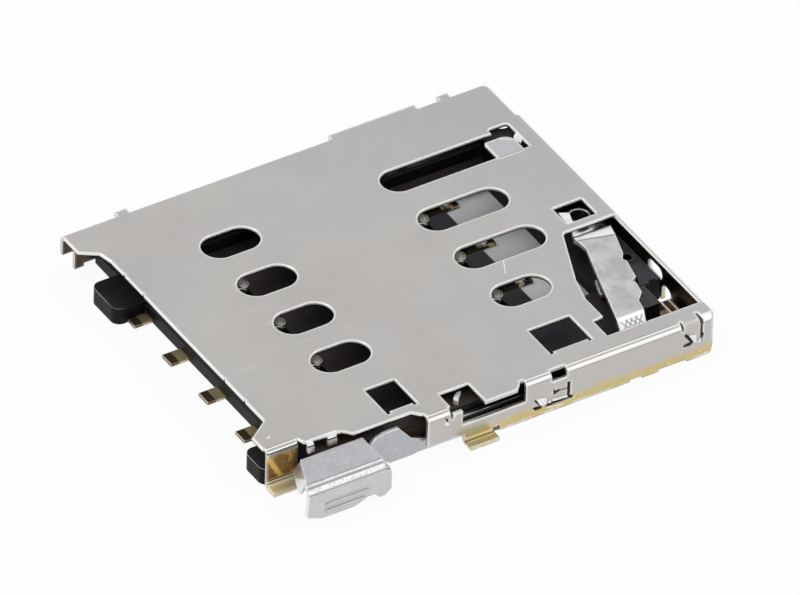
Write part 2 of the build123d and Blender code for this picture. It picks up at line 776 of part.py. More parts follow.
# Push rod: a bar on edge along the front side, folded outwards into a ribbed thumb tab
with BuildPart() as push_rod:
    tab_top = plate_under
    hump_top = plate_under - lever_headroom
    web_bottom = 0.25
    dip = 0.60
    keel = 0.06
    hump_start_x = tab_right_x + 0.55
    hump_end_x = tab_right_x + 1.15
    bar_outline = [
        (tab_right_x - slit / 2, web_bottom),
        (tab_right_x - slit / 2, hump_top - 0.30),
        (tab_right_x + 0.20, hump_top - slit),
        (hump_start_x, hump_top),
        (hump_end_x, hump_top),
        (hump_end_x + 0.53, dip + 0.26),
        (hump_end_x + 1.10, dip),
        (hump_end_x + 1.55, dip),
        (hump_end_x + 1.85, rod_height),
        (rod_end_x, rod_height),
        (rod_end_x, rod_bottom),
        (hump_end_x + 0.85, rod_bottom),
        (hump_end_x + 0.55, keel),
        (hump_start_x + 0.25, keel),
        (hump_start_x, web_bottom),
    ]
    with BuildSketch(Plane.XZ.offset(-rod_inner_y)):
        with BuildLine():
            Polyline(*bar_outline, close=True)
        make_face()
    extrude(amount=rod_sheet)
    block(
        (rod_end_x - rod_sheet, rod_end_x),
        (rod_outer_y, lever_front_y + hook_overlap),
        (rod_height - hook_height, rod_height),
    )

    # Web that turns out from the bar, and the tab's front face
    middle = rod_sheet / 2
    with BuildSketch(Plane.XY.offset(web_bottom)):
        with BuildLine():
            FilletPolyline(
                (tab_right_x + 0.60, rod_outer_y + middle),
                (tab_right_x - middle, rod_outer_y + middle),
                (tab_right_x - middle, tab_front_y + middle),
                (tab_right_x - 0.70, tab_front_y + middle),
                radius=0.18,
            )
        trace(line_width=rod_sheet)
    extrude(amount=0.85)
    toe_top = 0.30
    face_outline = [
        (tab_left_x, tab_top - tab_fold),
        (tab_left_x - 0.06, toe_top),
        (tab_left_x + 0.60, tab_bottom),
        (tab_left_x + 1.95, tab_bottom),
        (tab_left_x + 2.45, toe_top),
        (tab_right_x - 0.75, toe_top),
        (tab_right_x - 0.56, tab_bottom),
        (tab_right_x - 0.32, tab_bottom),
        (tab_right_x - slit / 2, toe_top),
        (tab_right_x - slit / 2, hump_top - 0.40),
        (tab_right_x - 0.30, tab_top - tab_fold),
    ]
    with BuildSketch(Plane.XZ.offset(-tab_front_y - rod_sheet)) as face_plan:
        with BuildLine():
            Polyline(*face_outline, close=True)
        make_face()
        fillet(face_plan.vertices().filter_by_position(Axis.Y, 0, toe_top + 0.01), 0.07)
    extrude(amount=rod_sheet)

    # Fold along the top of the tab, and the flap turned down at its left end
    tab_middle = tab_top - middle
    tab_back_y = tab_front_y + tab_depth
    tab_profile = [
        (tab_back_y, tab_middle),
        (tab_front_y + middle, tab_middle),
        (tab_front_y + middle, tab_top - tab_fold - slit / 2),
    ]
    fold_width = tab_right_x - 0.30 - tab_left_x
    bent_strip(Plane.YZ.offset(tab_left_x), tab_profile, tab_fold - middle, rod_sheet, fold_width)
    corner_length = 0.61
    corner_depth = 1.32
    slant = [
        (tab_left_x - clear, tab_back_y + slit),
        (tab_left_x + corner_length, tab_back_y + slit),
        (tab_left_x + corner_length, tab_back_y),
        (tab_left_x + 0.08, tab_back_y - corner_depth),
        (tab_left_x - clear, tab_back_y - corner_depth),
    ]
    plate(slant, (tab_top - tab_fold, cover_height), Mode.SUBTRACT)
    flap_plane = Plane(
        origin=(tab_left_x + corner_length, tab_back_y - 0.06, tab_middle),
        x_dir=(-corner_depth, 0.39 * corner_depth, 0),
        z_dir=(-0.39 * corner_depth, -corner_depth, 0),
    )
    bent_strip(flap_plane, [(-0.30, 0), (-0.02, 0), (0.24, 0.42)], 0.14, rod_sheet, tab_flap_width)
    with BuildSketch(Plane.XZ.offset(-tab_front_y)):
        with Locations((tab_left_x + upper_rib_x, upper_rib_z)):
            SlotOverall(upper_rib_length, rib_width)
        with Locations((tab_left_x + lower_rib_x, lower_rib_z)):
            SlotOverall(lower_rib_length, rib_width)
    extrude(amount=rib_height)
finish(push_rod, "push_rod")


# Eject lever: a raised strap with a foot at the rod, a bearing under its middle and a round tip
with BuildPart() as eject_lever:
    front_profile = [
        (lever_front_y - slit / 2, foot_middle),
        (pivot_y - lever_slope_arm - (strap_middle - foot_middle), foot_middle),
        (pivot_y - lever_slope_arm, strap_middle),
        (pivot_y + lever_sheet, strap_middle),
    ]
    blank_plane = Plane.YZ.offset(lever_front_x - lever_blank_margin)
    bent_strip(blank_plane, front_profile, lever_fold_radius, lever_sheet, lever_blank_width)
    slant_cos = cos(radians(lever_fold_slant))
    slant_sin = sin(radians(lever_fold_slant))
    fold_plane = Plane(
        origin=(pivot_x, pivot_y + lever_fold_arm, 0),
        x_dir=(slant_sin, slant_cos, 0),
        z_dir=(slant_cos, -slant_sin, 0),
    ).offset(-lever_blank_width / 2)
    facet_middle = strap_middle - lever_facet_drop
    facet_profile = [
        (-lever_fold_arm - lever_sheet, strap_middle),
        (0, strap_middle),
        (12 * lever_facet_drop, facet_middle),
        (22 * lever_facet_drop, facet_middle),
    ]
    bent_strip(fold_plane, facet_profile, lever_fold_radius, lever_sheet, lever_blank_width)
    with BuildSketch(fold_plane) as score:
        with Locations((0, lever_top)):
            Circle(lever_sheet / 5)
    extrude(score.sketch, amount=lever_blank_width, mode=Mode.SUBTRACT)
    facet_end_y = pivot_y + lever_facet_end
    block(
        (pivot_x - lever_blank_width / 2, pivot_x + lever_blank_width / 2),
        (facet_end_y, facet_end_y + lever_fold_arm),
        (0, cover_height),
        Mode.SUBTRACT,
    )
    arm_profile = [
        (facet_end_y - lever_sheet, facet_middle),
        (facet_end_y, facet_middle),
        (facet_end_y + strap_middle - arm_middle, arm_middle),
        (tip_y + 2 * tip_radius, arm_middle),
    ]
    bent_strip(blank_plane, arm_profile, lever_fold_radius, lever_sheet, lever_blank_width)

    # Outline sheared from the folded strap
    left_edge = [
        (-lever_front_side, -lever_front_arm),
        (-elbow_side, -lever_slope_arm),
        (-back_left_side, back_left_arm),
        (-tongue_left_side, lever_facet_end),
        (-tongue_left_side + tongue_step, lever_facet_end + tongue_rise),
        (lever_tip_side - tip_radius, lever_tip_arm),
    ]
    right_edge = [
        (lever_tip_side + tip_radius, lever_tip_arm),
        (shoulder_side, lever_facet_end + shoulder_rise),
        (back_right_side, back_right_arm),
        (notch_side, notch_arm),
        (notch_side - notch_depth, notch_arm - notch_height),
        (hip_side, hip_arm),
        (bulge_side, -bulge_arm),
        (waist_side, -waist_arm),
        (knee_side, -knee_arm),
        (shin_side, -shin_arm),
        (-ankle_side, -ankle_arm),
        (-heel_side, -heel_arm),
        (-toe_side, -lever_front_arm),
    ]
    with BuildSketch() as waste:
        with Locations((pivot_x, pivot_y)):
            Rectangle(cover_width, cover_width)
        with BuildLine():
            Polyline(*about_pivot(left_edge + right_edge), close=True)
        make_face(mode=Mode.SUBTRACT)
        with Locations((tip_x, tip_y)):
            Circle(tip_radius, mode=Mode.SUBTRACT)
    extrude(amount=cover_height, mode=Mode.SUBTRACT)

    # Round tip, drawn up into a ring
    ring_height = plate_under - 2 * lever_headroom - arm_middle
    with Locations((tip_x, tip_y, arm_middle)):
        Cylinder(tip_radius, ring_height, align=standing)
        Cylinder(tip_bore, 1.0, mode=Mode.SUBTRACT)

    # Bearing: a tab folded down from the right edge and back under the strap
    lean_cos = cos(radians(lever_lean))
    lean_sin = sin(radians(lever_lean))
    lever_plane = Plane(
        origin=(pivot_x, pivot_y, 0), x_dir=(lean_cos, -lean_sin, 0), z_dir=(-lean_sin, -lean_cos, 0)
    )
    bearing_edge = bearing_reach - lever_sheet / 2
    bearing_path = [
        (0.30, strap_middle),
        (bearing_edge, strap_middle),
        (bearing_edge, bearing_middle),
        (-0.55, bearing_middle),
    ]
    bent_strip(lever_plane.offset(-bearing_width / 2), bearing_path, 0.14, lever_sheet, bearing_width)
    with Locations((pivot_x, pivot_y, bearing_middle)):
        Cylinder(pivot_radius + pivot_clearance, 2 * lever_sheet, mode=Mode.SUBTRACT)
finish(eject_lever, "eject_lever")
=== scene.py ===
"""Looks of a low card socket: a folded nickel cover over a black housing, with a push-rod ejector.

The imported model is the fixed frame.  Lengths in the classes are millimetres, and MM turns them
into metres.
"""
import logging
import math
from dataclasses import dataclass
from enum import Enum
from functools import cached_property, reduce
from typing import NamedTuple

import bmesh
import bpy
from mathutils import Matrix, Vector


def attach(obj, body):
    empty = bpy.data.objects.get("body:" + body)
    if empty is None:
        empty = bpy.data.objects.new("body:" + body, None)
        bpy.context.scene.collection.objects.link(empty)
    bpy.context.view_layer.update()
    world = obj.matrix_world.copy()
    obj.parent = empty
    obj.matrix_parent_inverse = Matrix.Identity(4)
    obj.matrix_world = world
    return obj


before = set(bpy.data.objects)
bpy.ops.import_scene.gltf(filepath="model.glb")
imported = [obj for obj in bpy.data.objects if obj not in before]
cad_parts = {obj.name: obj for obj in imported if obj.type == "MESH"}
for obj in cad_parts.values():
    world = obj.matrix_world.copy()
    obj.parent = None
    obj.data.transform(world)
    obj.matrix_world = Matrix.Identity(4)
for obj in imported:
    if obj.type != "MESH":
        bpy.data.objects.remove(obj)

MM = 0.001
# Part of a face's normal along an axis: past FACES it faces that way, past LEANS it leans there.
FACES = 0.5
LEANS = 0.3
log = logging.getLogger("socket")

Pair = tuple[float, float]
Point = tuple[float, float, float]
Colour = tuple[float, float, float]
Outline = tuple[Pair, ...]
Stroke = tuple[Point, Point, float]
Socket = bpy.types.NodeSocket
Value = Socket | float | Point


class Slot(Enum):
    """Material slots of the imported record."""

    NICKEL = "nickel_plated_sheet"
    BRIGHT = "bright_sheet"
    MOULDING = "black_moulding"
    CONTACT = "plated_contact"
    COPPER = "copper_blade"


class Body(Enum):
    """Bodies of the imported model."""

    SOCKET = "socket"
    ROD = "rod"
    LEVER = "lever"


class Thickness(Enum):
    """The way in which a small plate is thick."""

    ACROSS = "Y"
    UPWARD = "Z"


class Split(NamedTuple):
    """A vector's three numbers as sockets."""

    x: Socket
    y: Socket
    z: Socket


@dataclass(frozen=True)
class Band:
    """Two limits, and the width of the fade at each."""

    low: float
    high: float
    soft: float = 0.01


@dataclass(frozen=True)
class Pattern:
    """A noise, and which of its values give 0 and 1."""

    scale: float
    detail: float
    low: float
    high: float
    stretch: Point = (1.0, 1.0, 1.0)


Area = tuple[Band, Band]


class Graph:
    """A node tree with short ways to add and join its nodes.

    A value is a socket or a constant, and a mask is a value from 0 to 1.
    """

    def __init__(self, tree: bpy.types.NodeTree) -> None:
        """Keep the tree that the nodes go into."""
        self.tree = tree

    def add(
        self, kind: str, feeds: dict[str | int, object] | None = None, **settings: object
    ) -> bpy.types.Node:
        """Add a node.

        Args:
            kind: the node's Blender type.
            feeds: a socket or a constant for each input, by its name or index.
            settings: properties to set on the node.

        Returns:
            The new node.
        """
        node = self.tree.nodes.new(kind)
        for name, value in settings.items():
            setattr(node, name, value)
        for label, value in (feeds or {}).items():
            self.feed(node.inputs[label], value)
        return node

    def feed(self, target: Socket, source: object) -> None:
        """Link a socket into another, or set the target to a constant."""
        if isinstance(source, Socket):
            self.tree.links.new(source, target)
        else:
            target.default_value = source

    def group(self, tree: bpy.types.NodeTree, **inputs: Value) -> bpy.types.bpy_prop_collection:
        """Place a node group and give its outputs; an underscore stands for a space in a name."""
        feeds = {name.replace("_", " "): value for name, value in inputs.items()}
        return self.add("ShaderNodeGroup", feeds, node_tree=tree).outputs

    def math(self, operation: str, *values: Value, clamp: bool = False) -> Socket:
        """Add a Math node, whose result stays from 0 to 1 where it is clamped."""
        feeds = dict(enumerate(values))
        return self.add("ShaderNodeMath", feeds, operation=operation, use_clamp=clamp).outputs[0]

    def vector(self, operation: str, *values: Value, **factor: Value) -> Socket:
        """Add a Vector Math node.

        Args:
            operation: the node's operation.
            values: its vectors.
            factor: Scale, for SCALE only.

        Returns:
            The result's socket: a number for DOT_PRODUCT and LENGTH, and a vector otherwise.
        """
        feeds = dict(enumerate(values)) | factor
        node = self.add("ShaderNodeVectorMath", feeds, operation=operation)
        return node.outputs["Value" if operation in ("DOT_PRODUCT", "LENGTH") else "Vector"]

    def blend(self, factor: Value, a: Value, b: Value) -> Socket:
        """Mix two colours, where the factor says how much of the second shows."""
        colours = {i: c if isinstance(c, Socket) else (*c, 1.0) for i, c in ((6, a), (7, b))}
        return self.add("ShaderNodeMix", {"Factor": factor, **colours}, data_type="RGBA").outputs[2]

    def span(self, value: Value, low: Value, high: Value) -> Socket:
        """Map a value to a mask, 0 at the low limit and 1 at the high one, with eased ends."""
        feeds = {"Value": value, "From Min": low, "From Max": high}
        return self.add("ShaderNodeMapRange", feeds, interpolation_type="SMOOTHSTEP").outputs[0]

    def noise(
        self, scale: Value, detail: float, stretch: Value = (1.0, 1.0, 1.0), shift: float = 0.0
    ) -> Socket:
        """Add a noise over the surface.

        Args:
            scale: waves per millimetre.
            detail: octaves of finer noise.
            stretch: factors along each axis before the noise is read.
            shift: how far away it is read, which gives another noise of the same kind.

        Returns:
            The noise's socket.
        """
        feeds = {"Vector": self.place, "Location": (shift, shift, shift), "Scale": stretch}
        mapping = self.add("ShaderNodeMapping", feeds)
        feeds = {"Vector": mapping.outputs[0], "Scale": scale, "Detail": detail}
        return self.add("ShaderNodeTexNoise", feeds).outputs["Fac"]

    def pattern(self, pattern: Pattern) -> Socket:
        """Mask the surface with a noise."""
        noise = self.noise(pattern.scale, pattern.detail, pattern.stretch)
        return self.span(noise, pattern.low, pattern.high)

    def split(self, vector: Socket) -> Split:
        """Take a vector apart."""
        return Split(*self.add("ShaderNodeSeparateXYZ", {0: vector}).outputs)

    @cached_property
    def place(self) -> Socket:
        """Give the object's own coordinates in millimetres."""
        coords = self.add("ShaderNodeTexCoord")
        return self.vector("SCALE", coords.outputs["Object"], Scale=1 / MM)

    @cached_property
    def at(self) -> Split:
        """Give the place along each axis."""
        return self.split(self.place)

    @cached_property
    def facing(self) -> Split:
        """Give the face's own normal along each axis."""
        return self.split(self.add("ShaderNodeNewGeometry").outputs["True Normal"])

    @cached_property
    def seen(self) -> Socket:
        """Mask the rays of the camera, of reflections and of clear things."""
        rays = self.add("ShaderNodeLightPath").outputs
        kinds = (rays[f"Is {kind} Ray"] for kind in ("Camera", "Glossy", "Transmission"))
        return reduce(lambda a, b: self.math("ADD", a, b, clamp=True), kinds)

    def times(self, *masks: Value) -> Value:
        """Multiply masks together."""
        return reduce(lambda a, b: self.math("MULTIPLY", a, b), masks)

    def either(self, *masks: Value) -> Value:
        """Give the largest of some masks."""
        return reduce(lambda a, b: self.math("MAXIMUM", a, b), masks)

    def outside(self, mask: Value) -> Socket:
        """Turn a mask over."""
        return self.math("SUBTRACT", 1.0, mask)

    def over(self, value: Value, limit: float) -> Socket:
        """Mask the values over a limit."""
        return self.math("GREATER_THAN", value, limit)

    def below(self, value: Value, limit: float) -> Socket:
        """Mask the values below a limit."""
        return self.math("LESS_THAN", value, limit)

    def within(self, value: Value, band: Band) -> Socket:
        """Mask the values between two limits.

        Args:
            value: the value to test.
            band: the limits.

        Returns:
            A mask that is 1 between them.
        """
        half = band.soft / 2
        rising = self.span(value, band.low - half, band.low + half)
        return self.times(rising, self.span(value, band.high + half, band.high - half))

    def among(self, value: Value, bands: tuple[Band, ...]) -> Value:
        """Mask the values that are inside any of some bands."""
        return self.either(*(self.within(value, band) for band in bands))

    def inside(self, area: Area) -> Value:
        """Mask the places inside an area's limits along X and along Y."""
        return self.times(self.within(self.at.x, area[0]), self.within(self.at.y, area[1]))

    def scaled(self, value: Value, factor: float, base: float) -> Socket:
        """Give the value times a factor, plus a base."""
        return self.math("ADD", self.math("MULTIPLY", value, factor), base)

    def stroke(self, start: Point, end: Point, width: float) -> Socket:
        """Mask a straight line on the surface.

        Args:
            start: one end of the line.
            end: its other end.
            width: how far from its middle it reaches.

        Returns:
            A mask that is 1 along the line.
        """
        run = Vector(end) - Vector(start)
        offset = self.vector("SUBTRACT", self.place, start)
        dot = self.vector("DOT_PRODUCT", offset, tuple(run))
        share = self.math("DIVIDE", dot, run.length_squared, clamp=True)
        nearest = self.vector("SCALE", tuple(run), Scale=share)
        gap = self.vector("LENGTH", self.vector("SUBTRACT", offset, nearest))
        return self.span(gap, width, width / 2)


class Effects:
    """Shader node groups that more than one finish uses."""

    KINDS = {"VALUE": "NodeSocketFloat", "VECTOR": "NodeSocketVector", "RGBA": "NodeSocketColor"}
    BEVEL_SAMPLES = 8
    FLAT_ENOUGH = 0.012
    CLOUD_DETAIL = 4.0
    FINE_DETAIL = 2.0
    BRIGHT_ANGLES = (Band(66.0, 75.0, 6.0), Band(18.0, 45.0, 8.0))
    DARK_ANGLES = (Band(82.0, 87.0, 4.0), Band(50.0, 58.0, 5.0), Band(5.0, 11.0, 5.0))
    STRAW = (0.62, 0.49, 0.22)
    GREENISH = (0.55, 0.50, 0.21)
    ORANGE = (0.76, 0.52, 0.27)
    ORANGE_SHARE = 0.5
    ORANGE_SHIFT = 9.0
    PATCH_SPAN = (0.42, 0.66)
    FLECK_SPAN = (0.67, 0.72)
    FLECK_DETAIL = 1.0

    def __init__(self) -> None:
        """Build each group once."""
        self.edge_highlights = self._edge_highlights()
        self.rolled_grain = self._rolled_grain()
        self.fold_highlights = self._fold_highlights()
        self.plated_tint = self._plated_tint()

    def _start(self, name: str, *labels: str) -> tuple[Graph, bpy.types.bpy_prop_collection]:
        """Start a group with number inputs.

        Args:
            name: the group's name.
            labels: names of the inputs.

        Returns:
            The group's graph, and the sockets that give its inputs.
        """
        tree = bpy.data.node_groups.new(name, "ShaderNodeTree")
        for label in labels:
            tree.interface.new_socket(label, in_out="INPUT", socket_type=self.KINDS["VALUE"])
        graph = Graph(tree)
        return graph, graph.add("NodeGroupInput").outputs

    def _end(self, graph: Graph, **results: Socket) -> bpy.types.NodeTree:
        """Give a group its outputs.

        Args:
            graph: the group's graph.
            results: what feeds each output, by its name.

        Returns:
            The group's tree.
        """
        for label, result in results.items():
            kind = self.KINDS[result.type]
            graph.tree.interface.new_socket(label, in_out="OUTPUT", socket_type=kind)
        graph.add("NodeGroupOutput", results)
        return graph.tree

    def _edge_highlights(self) -> bpy.types.NodeTree:
        """Find the sheared and folded edges: a mask that is 1 there, where the finishes lay painted
        highlights, and a rounded normal.
        """
        graph, given = self._start("edge_highlights", "Radius", "Gain")
        feeds = {"Radius": given["Radius"]}
        rounded = graph.add("ShaderNodeBevel", feeds, samples=self.BEVEL_SAMPLES).outputs[0]
        flat = graph.add("ShaderNodeNewGeometry").outputs["Normal"]
        away = graph.outside(graph.vector("DOT_PRODUCT", rounded, flat))
        turned = graph.math("SUBTRACT", away, self.FLAT_ENOUGH)
        mask = graph.math("MULTIPLY", turned, given["Gain"], clamp=True)
        return self._end(graph, Mask=mask, Normal=rounded)

    def _rolled_grain(self) -> bpy.types.NodeTree:
        """Give the cloudy mottle and the fine streaks of rolled sheet."""
        graph, given = self._start("rolled_grain", "Cloud", "Grain", "Streak")
        streak = graph.add("ShaderNodeCombineXYZ", {"X": given["Streak"], "Y": 1.0, "Z": 1.0})
        mottle = graph.noise(given["Cloud"], self.CLOUD_DETAIL)
        fine = graph.noise(given["Grain"], self.FINE_DETAIL, streak.outputs[0])
        return self._end(graph, Mottle=mottle, Fine=fine)

    def _fold_highlights(self) -> bpy.types.NodeTree:
        """Find the bands of a fold along X: two for painted highlights, and thin ones beside them
        for painted shade.
        """
        graph, given = self._start("fold_highlights", "Centre Y", "Centre Z")
        rise = graph.math("SUBTRACT", graph.at.z, given["Centre Z"])
        reach = graph.math("SUBTRACT", given["Centre Y"], graph.at.y)
        angle = graph.math("DEGREES", graph.math("ARCTAN2", rise, reach))
        outer = graph.times(graph.over(rise, 0.0), graph.over(reach, 0.0))
        bright, dark = (
            graph.times(outer, graph.among(angle, bands))
            for bands in (self.BRIGHT_ANGLES, self.DARK_ANGLES)
        )
        return self._end(graph, Bright=bright, Dark=dark)

    def _plated_tint(self) -> bpy.types.NodeTree:
        """Give the uneven tints of thin gold: straw, green and orange patches with pale flecks."""
        graph, given = self._start("plated_tint", "Patch", "Fleck")
        green, orange = (
            graph.span(graph.noise(given["Patch"], self.FINE_DETAIL, shift=shift), *self.PATCH_SPAN)
            for shift in (0.0, self.ORANGE_SHIFT)
        )
        colour = graph.blend(green, self.STRAW, self.GREENISH)
        colour = graph.blend(graph.times(orange, self.ORANGE_SHARE), colour, self.ORANGE)
        flecks = graph.span(graph.noise(given["Fleck"], self.FLECK_DETAIL), *self.FLECK_SPAN)
        return self._end(graph, Tint=colour, Flecks=flecks)


def blank_material(name: str) -> bpy.types.Material:
    """Make a material with an empty node tree."""
    material = bpy.data.materials.new(name)
    material.use_nodes = True
    material.node_tree.nodes.clear()
    return material


class Canvas(Graph):
    """The graph of one finish, with its grain, its edge mask for painted highlights and the colour
    so far.
    """

    def __init__(self, tree: bpy.types.NodeTree, finish: "Finish", effects: Effects) -> None:
        """Place the shared groups.

        Args:
            tree: the material's tree.
            finish: the finish, which says how fine its grain and its edges are.
            effects: the shared groups.
        """
        super().__init__(tree)
        self.effects = effects
        self.colour: Value = finish.ground
        cloud, grain, streak = finish.grain
        rolled = self.group(effects.rolled_grain, Cloud=cloud, Grain=grain, Streak=streak)
        self.mottle = self.span(rolled["Mottle"], *finish.cloudy)
        self.fine = rolled["Fine"]
        radius, gain = finish.edge
        wear_and_sheen = self.group(effects.edge_highlights, Radius=radius * MM, Gain=gain)
        self.edge, self.rounded = wear_and_sheen["Mask"], wear_and_sheen["Normal"]

    def lay(self, ink: Value, *masks: Value, share: float = 1.0) -> None:
        """Lay a colour over the ones so far.

        Args:
            ink: the colour.
            masks: where it goes, as masks that are multiplied.
            share: how much of it shows there.
        """
        shares = () if share == 1.0 else (share,)
        self.colour = self.blend(self.times(*masks, *shares), self.colour, ink)

    def mark(self, strokes: tuple[Stroke, ...], ink: Colour, share: float) -> None:
        """Draw some lines in one colour."""
        for stroke in strokes:
            self.lay(ink, self.stroke(*stroke), share=share)

    def fold(self, edge_y: float, top_z: float, reach: float) -> bpy.types.bpy_prop_collection:
        """Find the painted highlight and shade bands of a fold between its upright face and its
        flat face on top.
        """
        centre = {"Centre_Y": edge_y + reach, "Centre_Z": top_z - reach}
        return self.group(self.effects.fold_highlights, **centre)


@dataclass(frozen=True)
class Finish:
    """Base of the finishes: what they share, and how a material is made of them.

    Attributes:
        name: the material's name.
        ground: the colour that the others are laid on.
        grain: waves of the mottle and of the fine grain, and how far the grain is drawn out.
        cloudy: values of the mottle that give 0 and 1.
        edge: radius of the edge mask, and how soon its painted highlight is white.
        rough: factor and base of the roughness.
        depth: height of the grain.
        gloss: level of the clear highlight.
    """

    name: str
    ground: Colour
    grain: Point
    cloudy: Pair
    edge: Pair
    rough: Pair
    depth: float
    gloss: float = 0.5

    def material(self, effects: Effects) -> bpy.types.Material:
        """Make the material.

        Args:
            effects: the shared shader groups.

        Returns:
            The finished material.
        """
        material = blank_material(self.name)
        canvas = Canvas(material.node_tree, self, effects)
        metallic, uneven = self.dress(canvas)
        relief = canvas.add("ShaderNodeBump", {
            "Height": canvas.fine, "Distance": self.depth * MM, "Normal": canvas.rounded,
        })
        shader = canvas.add("ShaderNodeBsdfPrincipled", {
            "Base Color": canvas.colour, "Metallic": metallic, "Specular IOR Level": self.gloss,
            "Roughness": canvas.scaled(uneven, *self.rough), "Normal": relief.outputs[0],
        })
        canvas.add("ShaderNodeOutputMaterial", {"Surface": shader.outputs[0]})
        return material

    def dress(self, canvas: Canvas) -> tuple[Value, Value]:
        """Lay the colours.

        Args:
            canvas: the finish's graph.

        Returns:
            How metallic the surface is, and the mask that its roughness follows.
        """
        raise NotImplementedError


@dataclass(frozen=True)
class NickelSheet(Finish):
    """Satin nickel of the cover: painted highlights on the sheared rims and the folds, and gold at
    the lower edge.
    """

    ground: Colour = (0.468, 0.452, 0.442)
    grain: Point = (0.28, 5.0, 0.5)
    cloudy: Pair = (0.34, 0.66)
    edge: Pair = (0.16, 12.0)
    rough: Pair = (0.06, 0.30)
    depth: float = 0.0008
    light: Colour = (0.505, 0.49, 0.478)
    cool: Colour = (0.43, 0.43, 0.435)
    wall: Colour = (0.55, 0.525, 0.505)
    rim: Colour = (0.97, 0.965, 0.95)
    line: Colour = (0.20, 0.19, 0.18)
    gap: Colour = (0.012, 0.011, 0.011)
    brown_shade: Colour = (0.055, 0.032, 0.010)
    lilac: Colour = (0.515, 0.508, 0.545)
    ear_gold: Colour = (0.215, 0.100, 0.013)
    ear_light: Colour = (0.80, 0.52, 0.13)
    ear_foot_gold: Colour = (0.86, 0.74, 0.44)
    foot_gold: Colour = (0.62, 0.53, 0.27)
    foot_shaded_gold: Colour = (0.30, 0.24, 0.08)
    # Tints of the plate and of the tongue in its long window, a painted shade towards the far
    # corner, a faint painted sheen on ripples, and a painted highlight on the finger at the mouth.
    patches: Pattern = Pattern(0.22, 2.0, 0.45, 0.70)
    far_shade: Pair = (6.0, 15.0)
    specks: Pair = (0.40, 0.72)
    dull: float = 0.55
    ripple: Pattern = Pattern(1.6, 2.0, 0.60, 0.72, (0.25, 1.6, 1.0))
    rippled: Area = (Band(-7.6, -1.5, 2.0), Band(-4.2, 1.0, 2.0))
    tongue: Area = (Band(6.95, 8.10, 0.1), Band(3.85, 4.95, 0.1))
    finger_highlight: Area = (Band(-7.72, -6.30), Band(-7.30, -6.72))
    # Folds of the front wall and the ear, which get painted highlight and shade bands, with the
    # parts of the first that stay plain.
    front_y: float = -7.86
    plate_top: float = 1.72
    fold_reach: float = 0.25
    plain: tuple[Band, ...] = (Band(7.62, 8.46), Band(-2.10, 1.02))
    # Sheared walls of the plate's windows, with a painted highlight over a painted shade.
    cut_reach: Pair = (8.8, 7.58)
    cut_low: float = 1.56
    cut_shade_to_light: Pair = (1.60, 1.63)
    cut_dull: float = 0.8
    # Gold along the lower edge and on the front foot, with painted shade and highlight bands on the
    # foot.
    gold_patch: float = 1.1
    gold_fleck: float = 6.0
    gold_clean: float = 0.75
    ragged: Pair = (1.3, 4.0)
    band_height: Pair = (0.45, 0.42)
    band_fade: float = 0.46
    band_start: Pair = (-1.9, -1.0)
    band_side: float = -6.22
    pale_z: Pair = (0.16, 0.0)
    pale_span: Pair = (0.45, 0.60)
    foot_top: float = 0.45
    foot_lift: float = 0.02
    foot_shade: Band = Band(0.05, 0.16, 0.04)
    foot_shine: Band = Band(0.17, 0.22, 0.03)
    # The ear's fold, the gold on its leg and foot with painted highlight and shade bands, and the
    # walls whose inside gets a painted brown shade.
    ear_y: float = -6.62
    ear_end: float = -7.7
    leg_side: float = -6.57
    leg_top: Pair = (1.50, 1.42)
    streak_slant: float = 0.55
    streak: Band = Band(-8.36, -8.16, 0.12)
    blotch: Pattern = Pattern(3.0, 2.0, 0.50, 0.66)
    ear_foot_shine: tuple[Band, ...] = (Band(0.28, 0.34, 0.03), Band(0.18, 0.22, 0.03))
    ear_foot_shade: tuple[Band, ...] = (Band(0.36, 0.43, 0.03), Band(0.23, 0.27, 0.03))
    back_wall: Pair = (-6.5, 6.3)
    far_wall: float = 8.6
    # A scratch between the right windows, then painted highlights on rims, edges and bits of the
    # front wall.
    scratch_and_highlight_marks: tuple[Stroke, ...] = (
        ((4.13, -1.15, 1.72), (3.88, -1.72, 1.72), 0.028),
        ((3.88, -1.72, 1.72), (3.68, -2.10, 1.72), 0.018),
        ((-8.66, -5.93, 1.72), (-8.56, -5.87, 1.72), 0.04),
        ((7.38, 4.75, 1.72), (7.41, 4.73, 1.72), 0.06),
        ((7.03, 4.62, 1.72), (7.05, 4.60, 1.72), 0.05),
        ((7.55, 5.26, 1.72), (7.70, 5.32, 1.72), 0.04),
        ((7.59, 4.76, 1.72), (8.00, 4.46, 1.72), 0.025),
        ((7.02, 3.70, 1.72), (8.10, 3.70, 1.72), 0.02),
        ((6.98, 3.75, 1.72), (6.98, 4.60, 1.72), 0.05),
        ((8.57, -7.72, 1.70), (8.96, -7.72, 1.70), 0.16),
        ((-2.06, -7.86, 1.42), (-1.98, -7.86, 1.52), 0.11),
        ((-2.36, -7.86, 1.20), (-2.26, -7.86, 1.14), 0.07),
    )
    # Painted shade in the slots, holes and grooves of the front wall.
    dark_marks: tuple[Stroke, ...] = (
        ((1.40, -7.86, 0.76), (1.60, -7.86, 0.48), 0.045),
        ((1.45, -7.86, 0.38), (1.62, -7.86, 0.38), 0.11),
        ((1.93, -7.86, 0.37), (2.93, -7.86, 0.36), 0.10),
        ((2.22, -7.86, 0.80), (2.37, -7.86, 0.85), 0.085),
        ((2.39, -7.86, 0.84), (2.83, -7.86, 0.81), 0.03),
        ((7.76, -7.86, 1.22), (8.05, -7.86, 0.82), 0.085),
        ((7.74, -7.86, 0.76), (7.94, -7.86, 0.77), 0.11),
        ((8.42, -7.86, 0.72), (8.48, -7.86, 1.02), 0.07),
        ((8.48, -7.86, 1.50), (8.48, -7.78, 1.66), 0.035),
        ((-2.36, -7.84, 1.44), (-2.30, -7.86, 1.32), 0.05),
    )

